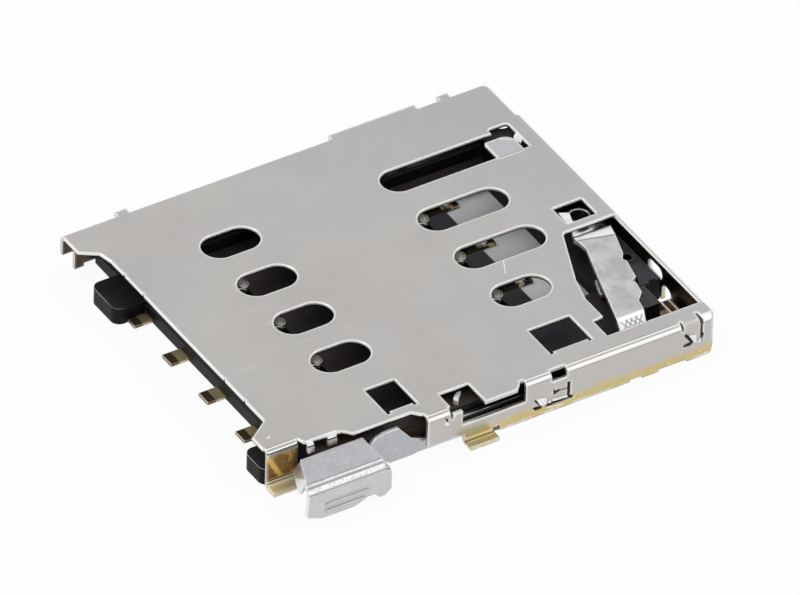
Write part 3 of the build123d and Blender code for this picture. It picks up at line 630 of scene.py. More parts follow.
    def dress(self, canvas: Canvas) -> tuple[Value, Value]:
        """Lay the nickel, then the gold, the painted highlight and shade of the folds and the cut
        walls, the painted highlights of the rims, and the marks.
        """
        x, y, _ = canvas.at
        canvas.lay(self.light, canvas.mottle)
        canvas.lay(self.cool, canvas.pattern(self.patches), share=0.35)
        # Darker and cooler towards the far corner: a painted shade across the plate.
        canvas.lay(self.cool, canvas.span(canvas.math("ADD", x, y), *self.far_shade), share=0.8)
        canvas.lay(self.light, canvas.span(canvas.fine, *self.specks), share=0.35)
        # A faint painted sheen on ripples of the plate, in the highlight colour.
        canvas.lay(self.rim, canvas.pattern(self.ripple), canvas.inside(self.rippled), share=0.06)
        canvas.lay(self.lilac, canvas.inside(self.tongue), share=0.85)
        upright = canvas.below(canvas.math("ABSOLUTE", canvas.facing.z), FACES)
        # Upright faces are laid lighter and warmer than the top: painted light.
        canvas.lay(self.wall, upright, share=0.8)
        on_ear = canvas.below(x, self.ear_end)
        golden = canvas.either(*self._gild_edge(canvas, on_ear), *self._gild_ear(canvas, on_ear))
        self._paint_fold_light(canvas, on_ear)
        finger_highlight = canvas.inside(self.finger_highlight)
        # The finger at the mouth is laid near-white: a painted highlight.
        canvas.lay(self.rim, finger_highlight, share=0.85)
        cut = self._cut_walls(canvas, upright)
        clean = canvas.outside(canvas.times(golden, self.gold_clean))
        rim = canvas.times(canvas.edge, clean, canvas.outside(cut))
        # White on the edges, less on the gold and none on the cut walls: painted highlights.
        canvas.lay(self.rim, rim)
        canvas.mark(self.scratch_and_highlight_marks, self.rim, share=0.8)
        canvas.mark(self.dark_marks, self.gap, share=0.98)
        ear_gold = canvas.times(on_ear, golden)
        dull = canvas.either(rim, canvas.times(cut, self.cut_dull), finger_highlight, ear_gold)
        return canvas.outside(canvas.times(dull, self.dull)), canvas.mottle

    def _gild_edge(self, canvas: Canvas, on_ear: Socket) -> tuple[Value, Value]:
        """Lay the gold along the walls' lower edge and on the front foot, with painted shade and
        highlight bands on the foot.

        Args:
            canvas: the finish's graph.
            on_ear: mask of the ear, which has its own gold.

        Returns:
            The masks of the edge's gold and of the foot's.
        """
        x, y, z = canvas.at
        gold = canvas.group(
            canvas.effects.plated_tint, Patch=self.gold_patch, Fleck=self.gold_fleck
        )
        ragged = canvas.noise(*self.ragged)
        top = canvas.scaled(ragged, *self.band_height)
        low = canvas.span(canvas.math("SUBTRACT", top, z), 0.0, self.band_fade)
        behind = canvas.outside(canvas.below(y, self.band_side))
        allowed = canvas.either(canvas.span(x, *self.band_start), behind)
        band = canvas.times(low, allowed, canvas.outside(on_ear))
        canvas.lay(gold["Tint"], band)
        canvas.lay(self.rim, band, gold["Flecks"], share=0.6)
        reach = canvas.math("SUBTRACT", self.front_y, y)
        foot = canvas.times(canvas.over(reach, self.foot_lift), canvas.below(z, self.foot_top))
        canvas.lay(self.foot_gold, foot)
        # A painted shade band and a painted highlight band across the foot.
        canvas.lay(self.foot_shaded_gold, foot, canvas.within(reach, self.foot_shade), share=0.85)
        canvas.lay(self.rim, foot, canvas.within(reach, self.foot_shine))
        # Near-white in ragged patches towards the bottom of the gold band.
        bare = (canvas.span(z, *self.pale_z), canvas.span(ragged, *self.pale_span))
        canvas.lay(self.rim, band, *bare, share=0.75)
        return band, foot

    def _gild_ear(self, canvas: Canvas, on_ear: Socket) -> tuple[Value, Value, Value]:
        """Lay the gold on the ear's leg and its foot with a painted highlight streak and bands, and
        the painted brown shade inside the walls.

        Args:
            canvas: the finish's graph.
            on_ear: mask of the ear.

        Returns:
            The masks of the leg, the back wall's inside and the far wall's inside.
        """
        x, y, z = canvas.at
        leg = canvas.times(on_ear, canvas.below(y, self.leg_side), canvas.span(z, *self.leg_top))
        canvas.lay(self.ear_gold, leg)
        slanted = canvas.math("ADD", canvas.math("MULTIPLY", z, self.streak_slant), x)
        # A slanted streak on the leg: a painted highlight.
        canvas.lay(self.ear_light, leg, canvas.within(slanted, self.streak), share=0.85)
        blotch = canvas.pattern(self.blotch)
        canvas.lay(self.ear_light, leg, blotch, share=0.45)
        foot = canvas.times(leg, canvas.below(z, self.foot_top))
        canvas.lay(self.ear_foot_gold, foot)
        # Painted highlight and painted shade bands across the ear's foot.
        for ink, bands in ((self.rim, self.ear_foot_shine), (self.ear_gold, self.ear_foot_shade)):
            canvas.lay(ink, foot, canvas.among(z, bands))
        # The insides of the back and far walls are laid brown: painted shade.
        near_x, back_y = self.back_wall
        back = canvas.times(
            canvas.over(y, back_y), canvas.below(canvas.facing.y, -LEANS), canvas.below(x, near_x)
        )
        canvas.lay(self.brown_shade, back)
        canvas.lay(self.ear_gold, back, blotch, share=0.35)
        far = canvas.times(canvas.over(x, self.far_wall), canvas.below(canvas.facing.x, -LEANS))
        canvas.lay(self.brown_shade, far)
        return leg, back, far

    def _paint_fold_light(self, canvas: Canvas, on_ear: Socket) -> None:
        """Paint highlight and shade bands on the fold of the front wall and of the ear.

        Args:
            canvas: the finish's graph.
            on_ear: mask of the ear.
        """
        plain = canvas.among(canvas.at.x, self.plain)
        on_front = canvas.outside(canvas.either(on_ear, plain))
        for edge_y, where in ((self.front_y, on_front), (self.ear_y, on_ear)):
            shine = canvas.fold(edge_y, self.plate_top, self.fold_reach)
            canvas.lay(self.line, where, shine["Dark"], share=0.5)
            canvas.lay(self.rim, where, shine["Bright"], share=0.96)

    def _cut_walls(self, canvas: Canvas, upright: Socket) -> Value:
        """Paint the sheared walls of the plate: a painted highlight on the upper part over a
        painted dark shade.

        Args:
            canvas: the finish's graph.
            upright: mask of the upright faces.

        Returns:
            The mask of the cut walls.
        """
        x, y, z = canvas.at
        reach_x, reach_y = self.cut_reach
        flat = (canvas.below(canvas.math("ABSOLUTE", y), reach_y), canvas.below(x, reach_x))
        cut = canvas.times(upright, *flat, canvas.over(z, self.cut_low))
        canvas.lay(canvas.blend(canvas.span(z, *self.cut_shade_to_light), self.gap, self.rim), cut)
        return cut


@dataclass(frozen=True)
class BrightSheet(Finish):
    """Brighter rolled steel of the rod, with painted light on the tab's front, flap and fold, and
    painted shade on the ribs and on the bar inside the cover.
    """

    ground: Colour = (0.44, 0.44, 0.46)
    grain: Point = (1.3, 11.0, 0.5)
    cloudy: Pair = (0.30, 0.70)
    edge: Pair = (0.07, 7.0)
    rough: Pair = (0.10, 0.28)
    depth: float = 0.0008
    light: Colour = (0.525, 0.53, 0.558)
    rim: Colour = (0.98, 0.98, 0.98)
    line: Colour = (0.20, 0.20, 0.21)
    shaded: Colour = (0.035, 0.028, 0.028)
    specks: Pair = (0.45, 0.70)
    fold_y: float = -9.05
    fold_z: float = 1.57
    fold_reach: float = 0.35
    front_lift: float = 0.02
    beads: Pattern = Pattern(12.0, 1.0, 0.42, 0.52, (0.7, 1.0, 1.0))
    bead_share: Pair = (0.5, 0.5)
    rib_top: float = 0.80
    rib_x: Band = Band(-8.4, -6.1, 0.1)
    flap_x: float = -8.6
    bar_y: float = -7.75
    shade_x: Pair = (-2.1, -0.1)
    dull: float = 0.5
    bar_highlights: tuple[Stroke, ...] = (
        ((-1.45, -7.56, 0.88), (0.05, -7.56, 0.88), 0.03),
        ((-1.40, -7.56, 0.71), (-0.60, -7.56, 0.71), 0.05),
        ((-0.60, -7.56, 0.98), (0.90, -7.56, 1.06), 0.025),
    )

    def dress(self, canvas: Canvas) -> tuple[Value, Value]:
        """Lay the steel, then painted light on the tab's front, flap and fold, painted shade on the
        ribs, painted highlights on the rims and the bar, and painted shade on the bar inside the
        cover.
        """
        x, y, z = canvas.at
        canvas.lay(self.light, canvas.mottle, share=0.6)
        canvas.lay(self.rim, canvas.span(canvas.fine, *self.specks), share=0.10)
        tab_front = canvas.below(y, self.fold_y + self.front_lift)
        # The tab's front face is laid lighter: painted light.
        canvas.lay(self.rim, tab_front, share=0.22)
        flap = (canvas.below(x, self.flap_x), canvas.below(canvas.facing.x, -LEANS))
        # The flap at the tab's end, facing -X, is laid near-white: a painted highlight.
        canvas.lay(self.rim, *flap, share=0.75)
        # Painted shade lines and speckled painted highlights along the tab's fold.
        shine = canvas.fold(self.fold_y, self.fold_z, self.fold_reach)
        on_tab = canvas.below(y, self.fold_y + self.fold_reach)
        canvas.lay(self.line, on_tab, shine["Dark"], share=0.75)
        speckled = canvas.scaled(canvas.pattern(self.beads), *self.bead_share)
        canvas.lay(self.rim, on_tab, shine["Bright"], speckled)
        ribs = canvas.times(tab_front, canvas.below(z, self.rib_top))
        # Dark lines on the ribs' lower and upper faces: painted shade.
        canvas.lay(self.line, ribs, canvas.below(canvas.facing.z, -LEANS), share=0.9)
        canvas.lay(self.line, ribs, canvas.over(canvas.facing.z, LEANS), share=0.75)
        ribbed = canvas.times(ribs, canvas.within(x, self.rib_x))
        rim = canvas.times(canvas.edge, canvas.outside(ribbed))
        # White on the edges, but not on the ribs: painted highlights.
        canvas.lay(self.rim, rim)
        # The bar inside the cover is darkened: painted shade.
        inside = (canvas.over(y, self.bar_y), canvas.span(x, *self.shade_x))
        canvas.lay(self.shaded, *inside, share=0.93)
        # Light lines along the bar: painted highlights.
        canvas.mark(self.bar_highlights, self.rim, share=0.5)
        return canvas.outside(canvas.times(rim, self.dull)), canvas.mottle


@dataclass(frozen=True)
class LeverSheet(Finish):
    """Drawn steel of the lever, with painted highlights on its rims, its slope and a facet behind
    its fold, and painted shade along the fold, on the arm and at the tip.
    """

    ground: Colour = (0.44, 0.445, 0.455)
    grain: Point = (1.6, 9.0, 1.0)
    cloudy: Pair = (0.34, 0.66)
    edge: Pair = (0.10, 8.0)
    rough: Pair = (0.12, 0.26)
    depth: float = 0.002
    light: Colour = (0.56, 0.565, 0.575)
    rim: Colour = (0.99, 0.99, 0.99)
    line: Colour = (0.10, 0.10, 0.105)
    violet: Colour = (0.13, 0.115, 0.15)
    drawn: Pattern = Pattern(5.0, 2.0, 0.55, 0.70, (1.0, 0.3, 1.0))
    streaks: Pattern = Pattern(3.0, 2.0, 0.40, 0.62, (0.4, 2.0, 1.0))
    streak_span: Pair = (0.9, 0.3)
    pivot: Pair = (7.21, -3.77)
    fold_arm: float = 2.25
    fold_slant: float = 15.4
    facet: Pair = (0.03, 0.07)
    fold_shade_line: Band = Band(-0.07, 0.02, 0.03)
    facet_end: float = 2.45
    slope_arm: float = 2.29
    tip_arm: float = 3.05
    tip_clean: float = 0.6
    dull: float = 0.5
    strap_low: float = 1.47

    def dress(self, canvas: Canvas) -> tuple[Value, Value]:
        """Lay the steel, then the painted highlight of the facet, the painted shade of the fold
        line and the arm, the painted highlight of the slope, the painted shade of the tip and the
        painted highlights of the rims.
        """
        _, y, z = canvas.at
        canvas.lay(self.light, canvas.mottle)
        canvas.lay(self.rim, canvas.pattern(self.drawn), share=0.15)
        slant = math.radians(self.fold_slant)
        pivot_x, pivot_y = self.pivot
        fold_place = (pivot_x, pivot_y + self.fold_arm, 0.0)
        behind = canvas.vector(
            "DOT_PRODUCT", canvas.vector("SUBTRACT", canvas.place, fold_place),
            (math.sin(slant), math.cos(slant), 0.0),
        )
        facing_up = canvas.over(canvas.facing.z, FACES)
        # A strip behind the fold, laid near-white: a painted highlight.
        canvas.lay(self.rim, canvas.span(behind, *self.facet), facing_up, share=0.8)
        # A dark line along the fold: painted shade.
        canvas.lay(self.line, canvas.within(behind, self.fold_shade_line), facing_up, share=0.9)
        # The arm below the strap is darkened in streaks: painted shade.
        arm = (canvas.over(y, pivot_y + self.facet_end), canvas.below(z, self.strap_low))
        streaked_shade = canvas.span(canvas.pattern(self.streaks), *self.streak_span)
        canvas.lay(self.line, *arm, streaked_shade, share=0.85)
        # The slope in front is laid lighter: a painted highlight.
        canvas.lay(self.rim, canvas.below(y, pivot_y - self.slope_arm), share=0.6)
        # The tip, seen inside the cover, is laid dark violet with fewer rim highlights: painted
        # shade.
        tip = canvas.over(y, pivot_y + self.tip_arm)
        rim = canvas.times(canvas.edge, canvas.outside(canvas.times(tip, self.tip_clean)))
        canvas.lay(self.violet, tip, share=0.85)
        # White on the edges: painted highlights.
        canvas.lay(self.rim, rim)
        return canvas.outside(canvas.times(rim, self.dull)), canvas.mottle


@dataclass(frozen=True)
class BlackMoulding(Finish):
    """Black moulding: painted light on its up-facing faces, a violet-grey painted sheen on some
    flats, a painted light strip on the rib, painted brown shade in the channel and painted
    highlights on the corners.
    """

    ground: Colour = (0.0075, 0.0066, 0.0070)
    grain: Point = (1.0, 16.0, 1.0)
    cloudy: Pair = (0.40, 0.70)
    edge: Pair = (0.05, 4.0)
    rough: Pair = (0.2, 0.34)
    depth: float = 0.003
    gloss: float = 0.11
    pale: Colour = (0.0155, 0.0135, 0.0140)
    top_light: Colour = (0.058, 0.050, 0.047)
    flat: Colour = (0.062, 0.059, 0.071)
    strip: Colour = (0.42, 0.37, 0.32)
    rim: Colour = (0.085, 0.08, 0.085)
    deck_rim: Colour = (0.20, 0.19, 0.22)
    mouth_rim: Colour = (0.85, 0.84, 0.85)
    brown_shade: Colour = (0.055, 0.030, 0.017)
    patchy: Pattern = Pattern(0.8, 3.0, 0.40, 0.70)
    haze: Pattern = Pattern(1.5, 3.0, 0.20, 0.60)
    wear_and_sheen: Pattern = Pattern(1.1, 2.0, 0.25, 0.60)
    lit_patches: Pattern = Pattern(0.9, 1.0, 0.38, 0.60)
    mouth_x: float = -7.65
    top_light_x: Pair = (-7.65, -7.35)
    top_light_scale: Pair = (0.7, 0.25)
    floor_x: Band = Band(3.0, 4.75, 0.2)
    floor_y: float = 3.8
    floor_z: Band = Band(0.45, 0.55)
    deck_x: float = 7.30
    deck_y: float = -0.9
    deck_z: float = 0.72
    rib_x: Band = Band(2.6, 5.4, 1.6)
    rib_y: Band = Band(5.66, 5.83, 0.06)
    channel_x: Pair = (0.5, -1.0)
    channel_y: float = -6.55
    groove_x: Band = Band(-2.0, 5.0, 3.0)
    groove_end: Pair = (4.5, 0.5)
    metal: float = 0.0

    def dress(self, canvas: Canvas) -> tuple[Value, Value]:
        """Lay the black, then painted light on the up-facing faces, the flats and the rib, painted
        brown shade in the channel and the groove, and painted highlights on the edges.
        """
        x, y, z = canvas.at
        patchy = canvas.pattern(self.patchy)
        canvas.lay(self.pale, patchy)
        facing_up = canvas.over(canvas.facing.z, FACES)
        # Up-facing faces are laid lighter, less so at the mouth: painted light.
        top_light_share = canvas.scaled(canvas.span(x, *self.top_light_x), *self.top_light_scale)
        canvas.lay(self.top_light, facing_up, top_light_share)
        tray_floor = canvas.times(
            canvas.within(x, self.floor_x), canvas.below(y, self.floor_y),
            canvas.within(z, self.floor_z), facing_up,
        )
        deck = canvas.times(
            canvas.over(x, self.deck_x), canvas.below(y, self.deck_y),
            canvas.over(z, self.deck_z), facing_up,
        )
        # A violet-grey painted sheen on the up-facing flats of the tray floor and the deck.
        canvas.lay(self.flat, canvas.either(tray_floor, deck), canvas.pattern(self.haze))
        # A light strip in patches along the rib's top: painted light.
        on_rib = (canvas.within(y, self.rib_y), canvas.over(z, self.floor_z.high))
        lit = (canvas.within(x, self.rib_x), canvas.pattern(self.wear_and_sheen))
        canvas.lay(self.strip, *on_rib, *lit, share=0.8)
        # Painted brown shade in the channel under the cover and in the groove, with painted light
        # towards the groove's end.
        channel = (canvas.below(y, self.channel_y), canvas.span(x, *self.channel_x))
        canvas.lay(self.brown_shade, *channel, patchy)
        groove = canvas.times(canvas.over(y, self.rib_y.high), canvas.within(x, self.groove_x))
        canvas.lay(self.brown_shade, groove, share=0.45)
        canvas.lay(self.strip, groove, canvas.span(x, *self.groove_end), share=0.8)
        # Painted highlights on the edges: faint, lighter on the deck, near-white in patches at the
        # mouth.
        canvas.lay(self.rim, canvas.edge, share=0.8)
        canvas.lay(self.deck_rim, canvas.edge, deck)
        mouth = (canvas.below(x, self.mouth_x), canvas.pattern(self.lit_patches))
        canvas.lay(self.mouth_rim, canvas.edge, *mouth)
        return self.metal, canvas.fine


@dataclass(frozen=True)
class PlatedContact(Finish):
    """Contact strip: gold at its root, bare brown at its cut end, paler towards the tip, with
    painted shade on the hidden tail and painted highlights on the rims.
    """

    ground: Colour = (0.78, 0.64, 0.36)
    grain: Point = (2.5, 14.0, 0.6)
    cloudy: Pair = (0.3, 0.7)
    edge: Pair = (0.07, 6.0)
    rough: Pair = (0.15, 0.26)
    depth: float = 0.0015
    tip: Colour = (0.30, 0.285, 0.27)
    bare: Colour = (0.13, 0.085, 0.045)
    dark: Colour = (0.030, 0.024, 0.018)
    rim: Colour = (0.90, 0.86, 0.72)
    gold_patch: float = 3.0
    gold_fleck: float = 9.0
    rise: Pair = (0.35, 0.80)
    lying_z: float = 0.2
    cut_end: float = -8.05
    inner_x: float = 3.0
    bright_x: float = 4.7
    glints: Pattern = Pattern(4.0, 2.0, 0.48, 0.58)
    dull: float = 0.5

    def dress(self, canvas: Canvas) -> tuple[Value, Value]:
        """Lay the gold, then the tip, the cut end, the painted shade of the hidden tail with gold
        glints left in it, and the painted highlights of the rims.
        """
        x, _, z = canvas.at
        gold = canvas.group(
            canvas.effects.plated_tint, Patch=self.gold_patch, Fleck=self.gold_fleck
        )
        canvas.lay(self.tip, canvas.mottle, share=0.5)
        canvas.lay(gold["Tint"], share=0.35)
        risen = canvas.span(z, *self.rise)
        canvas.lay(self.tip, risen)
        lying = canvas.below(z, self.lying_z)
        canvas.lay(self.bare, lying, canvas.below(x, self.cut_end))
        # The tail under the floor is darkened, a painted shade, with the gold left showing in
        # glints beyond bright_x.
        hidden = canvas.times(lying, canvas.over(x, self.inner_x))
        glints = canvas.times(canvas.over(x, self.bright_x), canvas.pattern(self.glints))
        canvas.lay(self.dark, hidden, canvas.outside(glints))
        shown = canvas.outside(hidden)
        # Light edges where the strip shows: painted highlights.
        canvas.lay(self.rim, canvas.edge, shown)
        return canvas.outside(canvas.times(lying, shown, self.dull)), risen


@dataclass(frozen=True)
class CopperBlade(Finish):
    """Bare copper alloy of the detect switch, with painted highlights along its edges and on its
    up-facing faces.
    """

    ground: Colour = (0.36, 0.23, 0.155)
    grain: Point = (1.5, 16.0, 0.2)
    cloudy: Pair = (0.35, 0.65)
    edge: Pair = (0.05, 6.0)
    rough: Pair = (1.0, -0.2)
    depth: float = 0.0015
    pale: Colour = (0.92, 0.77, 0.66)
    foot: Colour = (0.05, 0.035, 0.028)
    foot_x: float = 8.30
    metal: float = 0.8

    def dress(self, canvas: Canvas) -> tuple[Value, Value]:
        """Lay the copper, then the painted highlights on the edges and the up-facing faces, and the
        dark foot.
        """
        canvas.lay(self.pale, canvas.mottle)
        # Pale edges and up-facing faces: painted highlights.
        canvas.lay(self.pale, canvas.edge)
        canvas.lay(self.pale, canvas.over(canvas.facing.z, FACES), share=0.7)
        dark = canvas.blend(canvas.fine, self.foot, self.ground)
        canvas.lay(dark, canvas.below(canvas.at.x, self.foot_x))
        return self.metal, canvas.fine


@dataclass(frozen=True)
class PaleMetal(Finish):
    """Pale metal: nearly white unless it is told otherwise, with greyer patches; its near-white and
    its lighter edges are painted highlights.
    """

    ground: Colour = (0.97, 0.965, 0.955)
    grain: Point = (4.0, 16.0, 0.5)
    cloudy: Pair = (0.40, 0.75)
    edge: Pair = (0.02, 3.0)
    rough: Pair = (0.1, 0.24)
    depth: float = 0.001
    grey: Colour = (0.74, 0.73, 0.73)
    metal: float = 0.35

    def dress(self, canvas: Canvas) -> tuple[Value, Value]:
        """Lay the grey patches, and the ground colour on the edges as a painted highlight."""
        canvas.lay(self.grey, canvas.mottle)
        canvas.lay(self.ground, canvas.edge)
        return self.metal, canvas.fine


@dataclass(frozen=True)
class StudioWhite:
    """White floor: it glows to the camera and to reflections, except under the socket."""

    name: str
    paper: Colour = (0.93, 0.93, 0.95)
    glow: float = 0.93
    shades: tuple[Area, ...] = (
        (Band(-7.2, 8.6, 0.3), Band(-7.30, 7.4, 0.3)), (Band(-0.42, 0.02), Band(-7.80, -7.10)),
    )

    def material(self) -> bpy.types.Material:
        """Make the floor's material."""
        material = blank_material(self.name)
        graph = Graph(material.node_tree)
        under = graph.either(*map(graph.inside, self.shades))
        paper = graph.add("ShaderNodeBsdfDiffuse", {"Color": (*self.paper, 1.0)})
        glow = graph.add("ShaderNodeEmission", {"Strength": 1.0})
        share = graph.times(graph.seen, graph.outside(under), self.glow)
        mix = graph.add("ShaderNodeMixShader", {0: share, 1: paper.outputs[0], 2: glow.outputs[0]})
        graph.add("ShaderNodeOutputMaterial", {"Surface": mix.outputs[0]})
        return material


def add_object(name: str, data: bpy.types.ID) -> bpy.types.Object:
    """Add an object to the scene."""
    thing = bpy.data.objects.new(name, data)
    bpy.context.scene.collection.objects.link(thing)
    return thing


def paint(piece: bpy.types.Object, material: bpy.types.Material) -> None:
    """Give a piece one material."""
    piece.data.materials.clear()
    piece.data.materials.append(material)


def dress_node(node: str, material: bpy.types.Material) -> None:
    """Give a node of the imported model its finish.

    Args:
        node: the node's name.
        material: its material.
    """
    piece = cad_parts[node]
    paint(piece, material)
    log.info("dressed %s", node)


def settle(
    piece: bpy.types.Object, material: bpy.types.Material, body: Body
) -> None:
    """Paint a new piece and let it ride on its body.

    Args:
        piece: the piece.
        material: its material.
        body: the body that carries it.
    """
    paint(piece, material)
    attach(piece, body.value)
    log.info("made %s with %d faces", piece.name, len(piece.data.polygons))


@dataclass(frozen=True)
class Plate:
    """A small flat bit of metal with any outline."""

    outline: Outline
    low: float
    high: float
    thick: Thickness = Thickness.UPWARD
    soften: float = 0.012
    roundness: float = 0.6
    steps: int = 2

    def _point(self, flat: Pair, depth: float) -> Vector:
        """Place a corner of the outline at a depth, in metres."""
        across, up = flat
        place = (across, depth, up) if self.thick is Thickness.ACROSS else (across, up, depth)
        return Vector(place) * MM

    def add_to(self, shape: bmesh.types.BMesh) -> None:
        """Add the bit as a closed prism with softened edges.

        Args:
            shape: the mesh that it goes into.
        """
        rings = [
            [shape.verts.new(self._point(flat, depth)) for flat in self.outline]
            for depth in (self.low, self.high)
        ]
        faces = [shape.faces.new(ring) for ring in rings]
        count = len(self.outline)
        for i in range(count):
            j = (i + 1) % count
            faces.append(shape.faces.new((rings[0][i], rings[0][j], rings[1][j], rings[1][i])))
        bmesh.ops.recalc_face_normals(shape, faces=faces)
        edges = list({edge for face in faces for edge in face.edges})
        bmesh.ops.bevel(
            shape, geom=edges, offset=self.soften * MM, segments=self.steps,
            profile=self.roundness, affect="EDGES", clamp_overlap=True,
        )


def join_plates(name: str, plates: tuple[Plate, ...]) -> bpy.types.Object:
    """Make one piece of some flat bits.

    Args:
        name: the piece's name.
        plates: the bits.

    Returns:
        The piece, with its place in its mesh.
    """
    shape = bmesh.new()
    for plate in plates:
        plate.add_to(shape)
    mesh = bpy.data.meshes.new(name)
    shape.to_mesh(mesh)
    shape.free()
    return add_object(name, mesh)


@dataclass(frozen=True)
class Repeated:
    """One small form that Geometry Nodes set on many points.

    Attributes:
        name: the piece's name.
        points: where the form goes.
        size: its main size.
        wire: its thickness.
        least: factor of the smallest one, where the largest has 1.
        seed: seed of these factors.
        section_steps: corners of a swept section.
        merge: distance in metres at which corners become one.
    """

    name: str
    points: tuple[Point, ...]
    size: float
    wire: float
    least: float = 1.0
    seed: int = 11
    section_steps: int = 10
    merge: float = 1e-7

    def form(self, graph: Graph, size: Socket, wire: Socket) -> Socket:
        """Build the form round the origin.

        Args:
            graph: the tree's graph.
            size: the form's main size.
            wire: its thickness.

        Returns:
            The form's geometry.
        """
        raise NotImplementedError

    def sweep(self, graph: Graph, path: Socket, wire: Socket) -> Socket:
        """Sweep a round section along a path.

        Args:
            graph: the tree's graph.
            path: the curve.
            wire: the section's radius.

        Returns:
            The swept geometry.
        """
        feeds = {"Resolution": self.section_steps, "Radius": wire}
        section = graph.add("GeometryNodeCurvePrimitiveCircle", feeds)
        feeds = {"Curve": path, "Profile Curve": section.outputs[0], "Fill Caps": True}
        return graph.add("GeometryNodeCurveToMesh", feeds).outputs[0]

    def _tree(self, material: bpy.types.Material) -> bpy.types.NodeTree:
        """Build the tree that repeats the form.

        Args:
            material: the material that it ends with.

        Returns:
            The tree.
        """
        tree = bpy.data.node_groups.new(self.name, "GeometryNodeTree")
        tree.is_modifier = True
        sockets = tree.interface
        sockets.new_socket("Points", in_out="INPUT", socket_type="NodeSocketGeometry")
        for label in ("Size", "Wire", "Least"):
            sockets.new_socket(label, in_out="INPUT", socket_type="NodeSocketFloat")
        sockets.new_socket("Geometry", in_out="OUTPUT", socket_type="NodeSocketGeometry")
        graph = Graph(tree)
        given = graph.add("NodeGroupInput").outputs
        feeds = {2: given["Least"], 3: 1.0, "Seed": self.seed}
        spread = graph.add("FunctionNodeRandomValue", feeds, data_type="FLOAT")
        placed = graph.add("GeometryNodeInstanceOnPoints", {
            "Points": given["Points"], "Scale": spread.outputs[1],
            "Instance": self.form(graph, given["Size"], given["Wire"]),
        })
        real = graph.add("GeometryNodeRealizeInstances", {0: placed.outputs[0]})
        feeds = {"Geometry": real.outputs[0], "Material": material}
        finished = graph.add("GeometryNodeSetMaterial", feeds)
        graph.add("NodeGroupOutput", {"Geometry": finished.outputs[0]})
        return tree

    def grow(self, material: bpy.types.Material) -> bpy.types.Object:
        """Make the piece as a plain mesh.

        Args:
            material: its material.

        Returns:
            The piece, with its place in its mesh.
        """
        mesh = bpy.data.meshes.new(self.name)
        mesh.from_pydata([Vector(point) * MM for point in self.points], [], [])
        piece = add_object(self.name, mesh)
        tree = self._tree(material)
        modifier = piece.modifiers.new("repeat", "NODES")
        modifier.node_group = tree
        values = {"Size": self.size * MM, "Wire": self.wire * MM, "Least": self.least}
        for item in tree.interface.items_tree:
            if item.name in values:
                modifier[item.identifier] = values[item.name]
        whole = piece.evaluated_get(bpy.context.evaluated_depsgraph_get())
        result = bpy.data.meshes.new_from_object(whole)
        piece.modifiers.clear()
        piece.data = result
        shape = bmesh.new()
        shape.from_mesh(result)
        bmesh.ops.remove_doubles(shape, verts=shape.verts, dist=self.merge)
        bmesh.ops.recalc_face_normals(shape, faces=shape.faces)
        shape.to_mesh(result)
        shape.free()
        return piece


@dataclass(frozen=True)
class TipRing(Repeated):
    """A low dome with a ring round it, as pressed into each contact's tip."""

    flatness: float = 0.32
    dome_share: float = 0.8
    ring_steps: int = 28
    dome_steps: tuple[int, int] = (24, 12)

    def form(self, graph: Graph, size: Socket, wire: Socket) -> Socket:
        """Build the dome and its ring round the origin."""
        feeds = {"Resolution": self.ring_steps, "Radius": size}
        ring = graph.add("GeometryNodeCurvePrimitiveCircle", feeds)
        swept = self.sweep(graph, ring.outputs[0], wire)
        around, upward = self.dome_steps
        radius = graph.math("MULTIPLY", size, self.dome_share)
        feeds = {"Segments": around, "Rings": upward, "Radius": radius}
        ball = graph.add("GeometryNodeMeshUVSphere", feeds)
        feeds = {"Geometry": ball.outputs[0], "Scale": (1.0, 1.0, self.flatness)}
        joined = graph.add("GeometryNodeJoinGeometry")
        for geometry in (graph.add("GeometryNodeTransform", feeds).outputs[0], swept):
            graph.feed(joined.inputs[0], geometry)
        return joined.outputs[0]


@dataclass(frozen=True)
class KnurlBar(Repeated):
    """A fine straight bar, one of a row of ridges."""

    run: Point = (1.0, 0.0, 0.0)

    def form(self, graph: Graph, size: Socket, wire: Socket) -> Socket:
        """Build the bar round the origin."""
        start, end = (
            graph.vector("SCALE", self.run, Scale=graph.math("MULTIPLY", size, half))
            for half in (-0.5, 0.5)
        )
        line = graph.add("GeometryNodeCurvePrimitiveLine", {"Start": start, "End": end})
        return self.sweep(graph, line.outputs[0], wire)


@dataclass(frozen=True)
class Bead(Repeated):
    """A flattened bead, longer along X."""

    ball_steps: tuple[int, int] = (12, 6)

    def form(self, graph: Graph, size: Socket, wire: Socket) -> Socket:
        """Build the bead round the origin."""
        around, upward = self.ball_steps
        feeds = {"Segments": around, "Rings": upward, "Radius": wire}
        ball = graph.add("GeometryNodeMeshUVSphere", feeds)
        feeds = {"X": graph.math("DIVIDE", size, wire), "Y": 1.0, "Z": 1.0}
        longer = graph.add("ShaderNodeCombineXYZ", feeds)
        feeds = {"Geometry": ball.outputs[0], "Scale": longer.outputs[0]}
        return graph.add("GeometryNodeTransform", feeds).outputs[0]


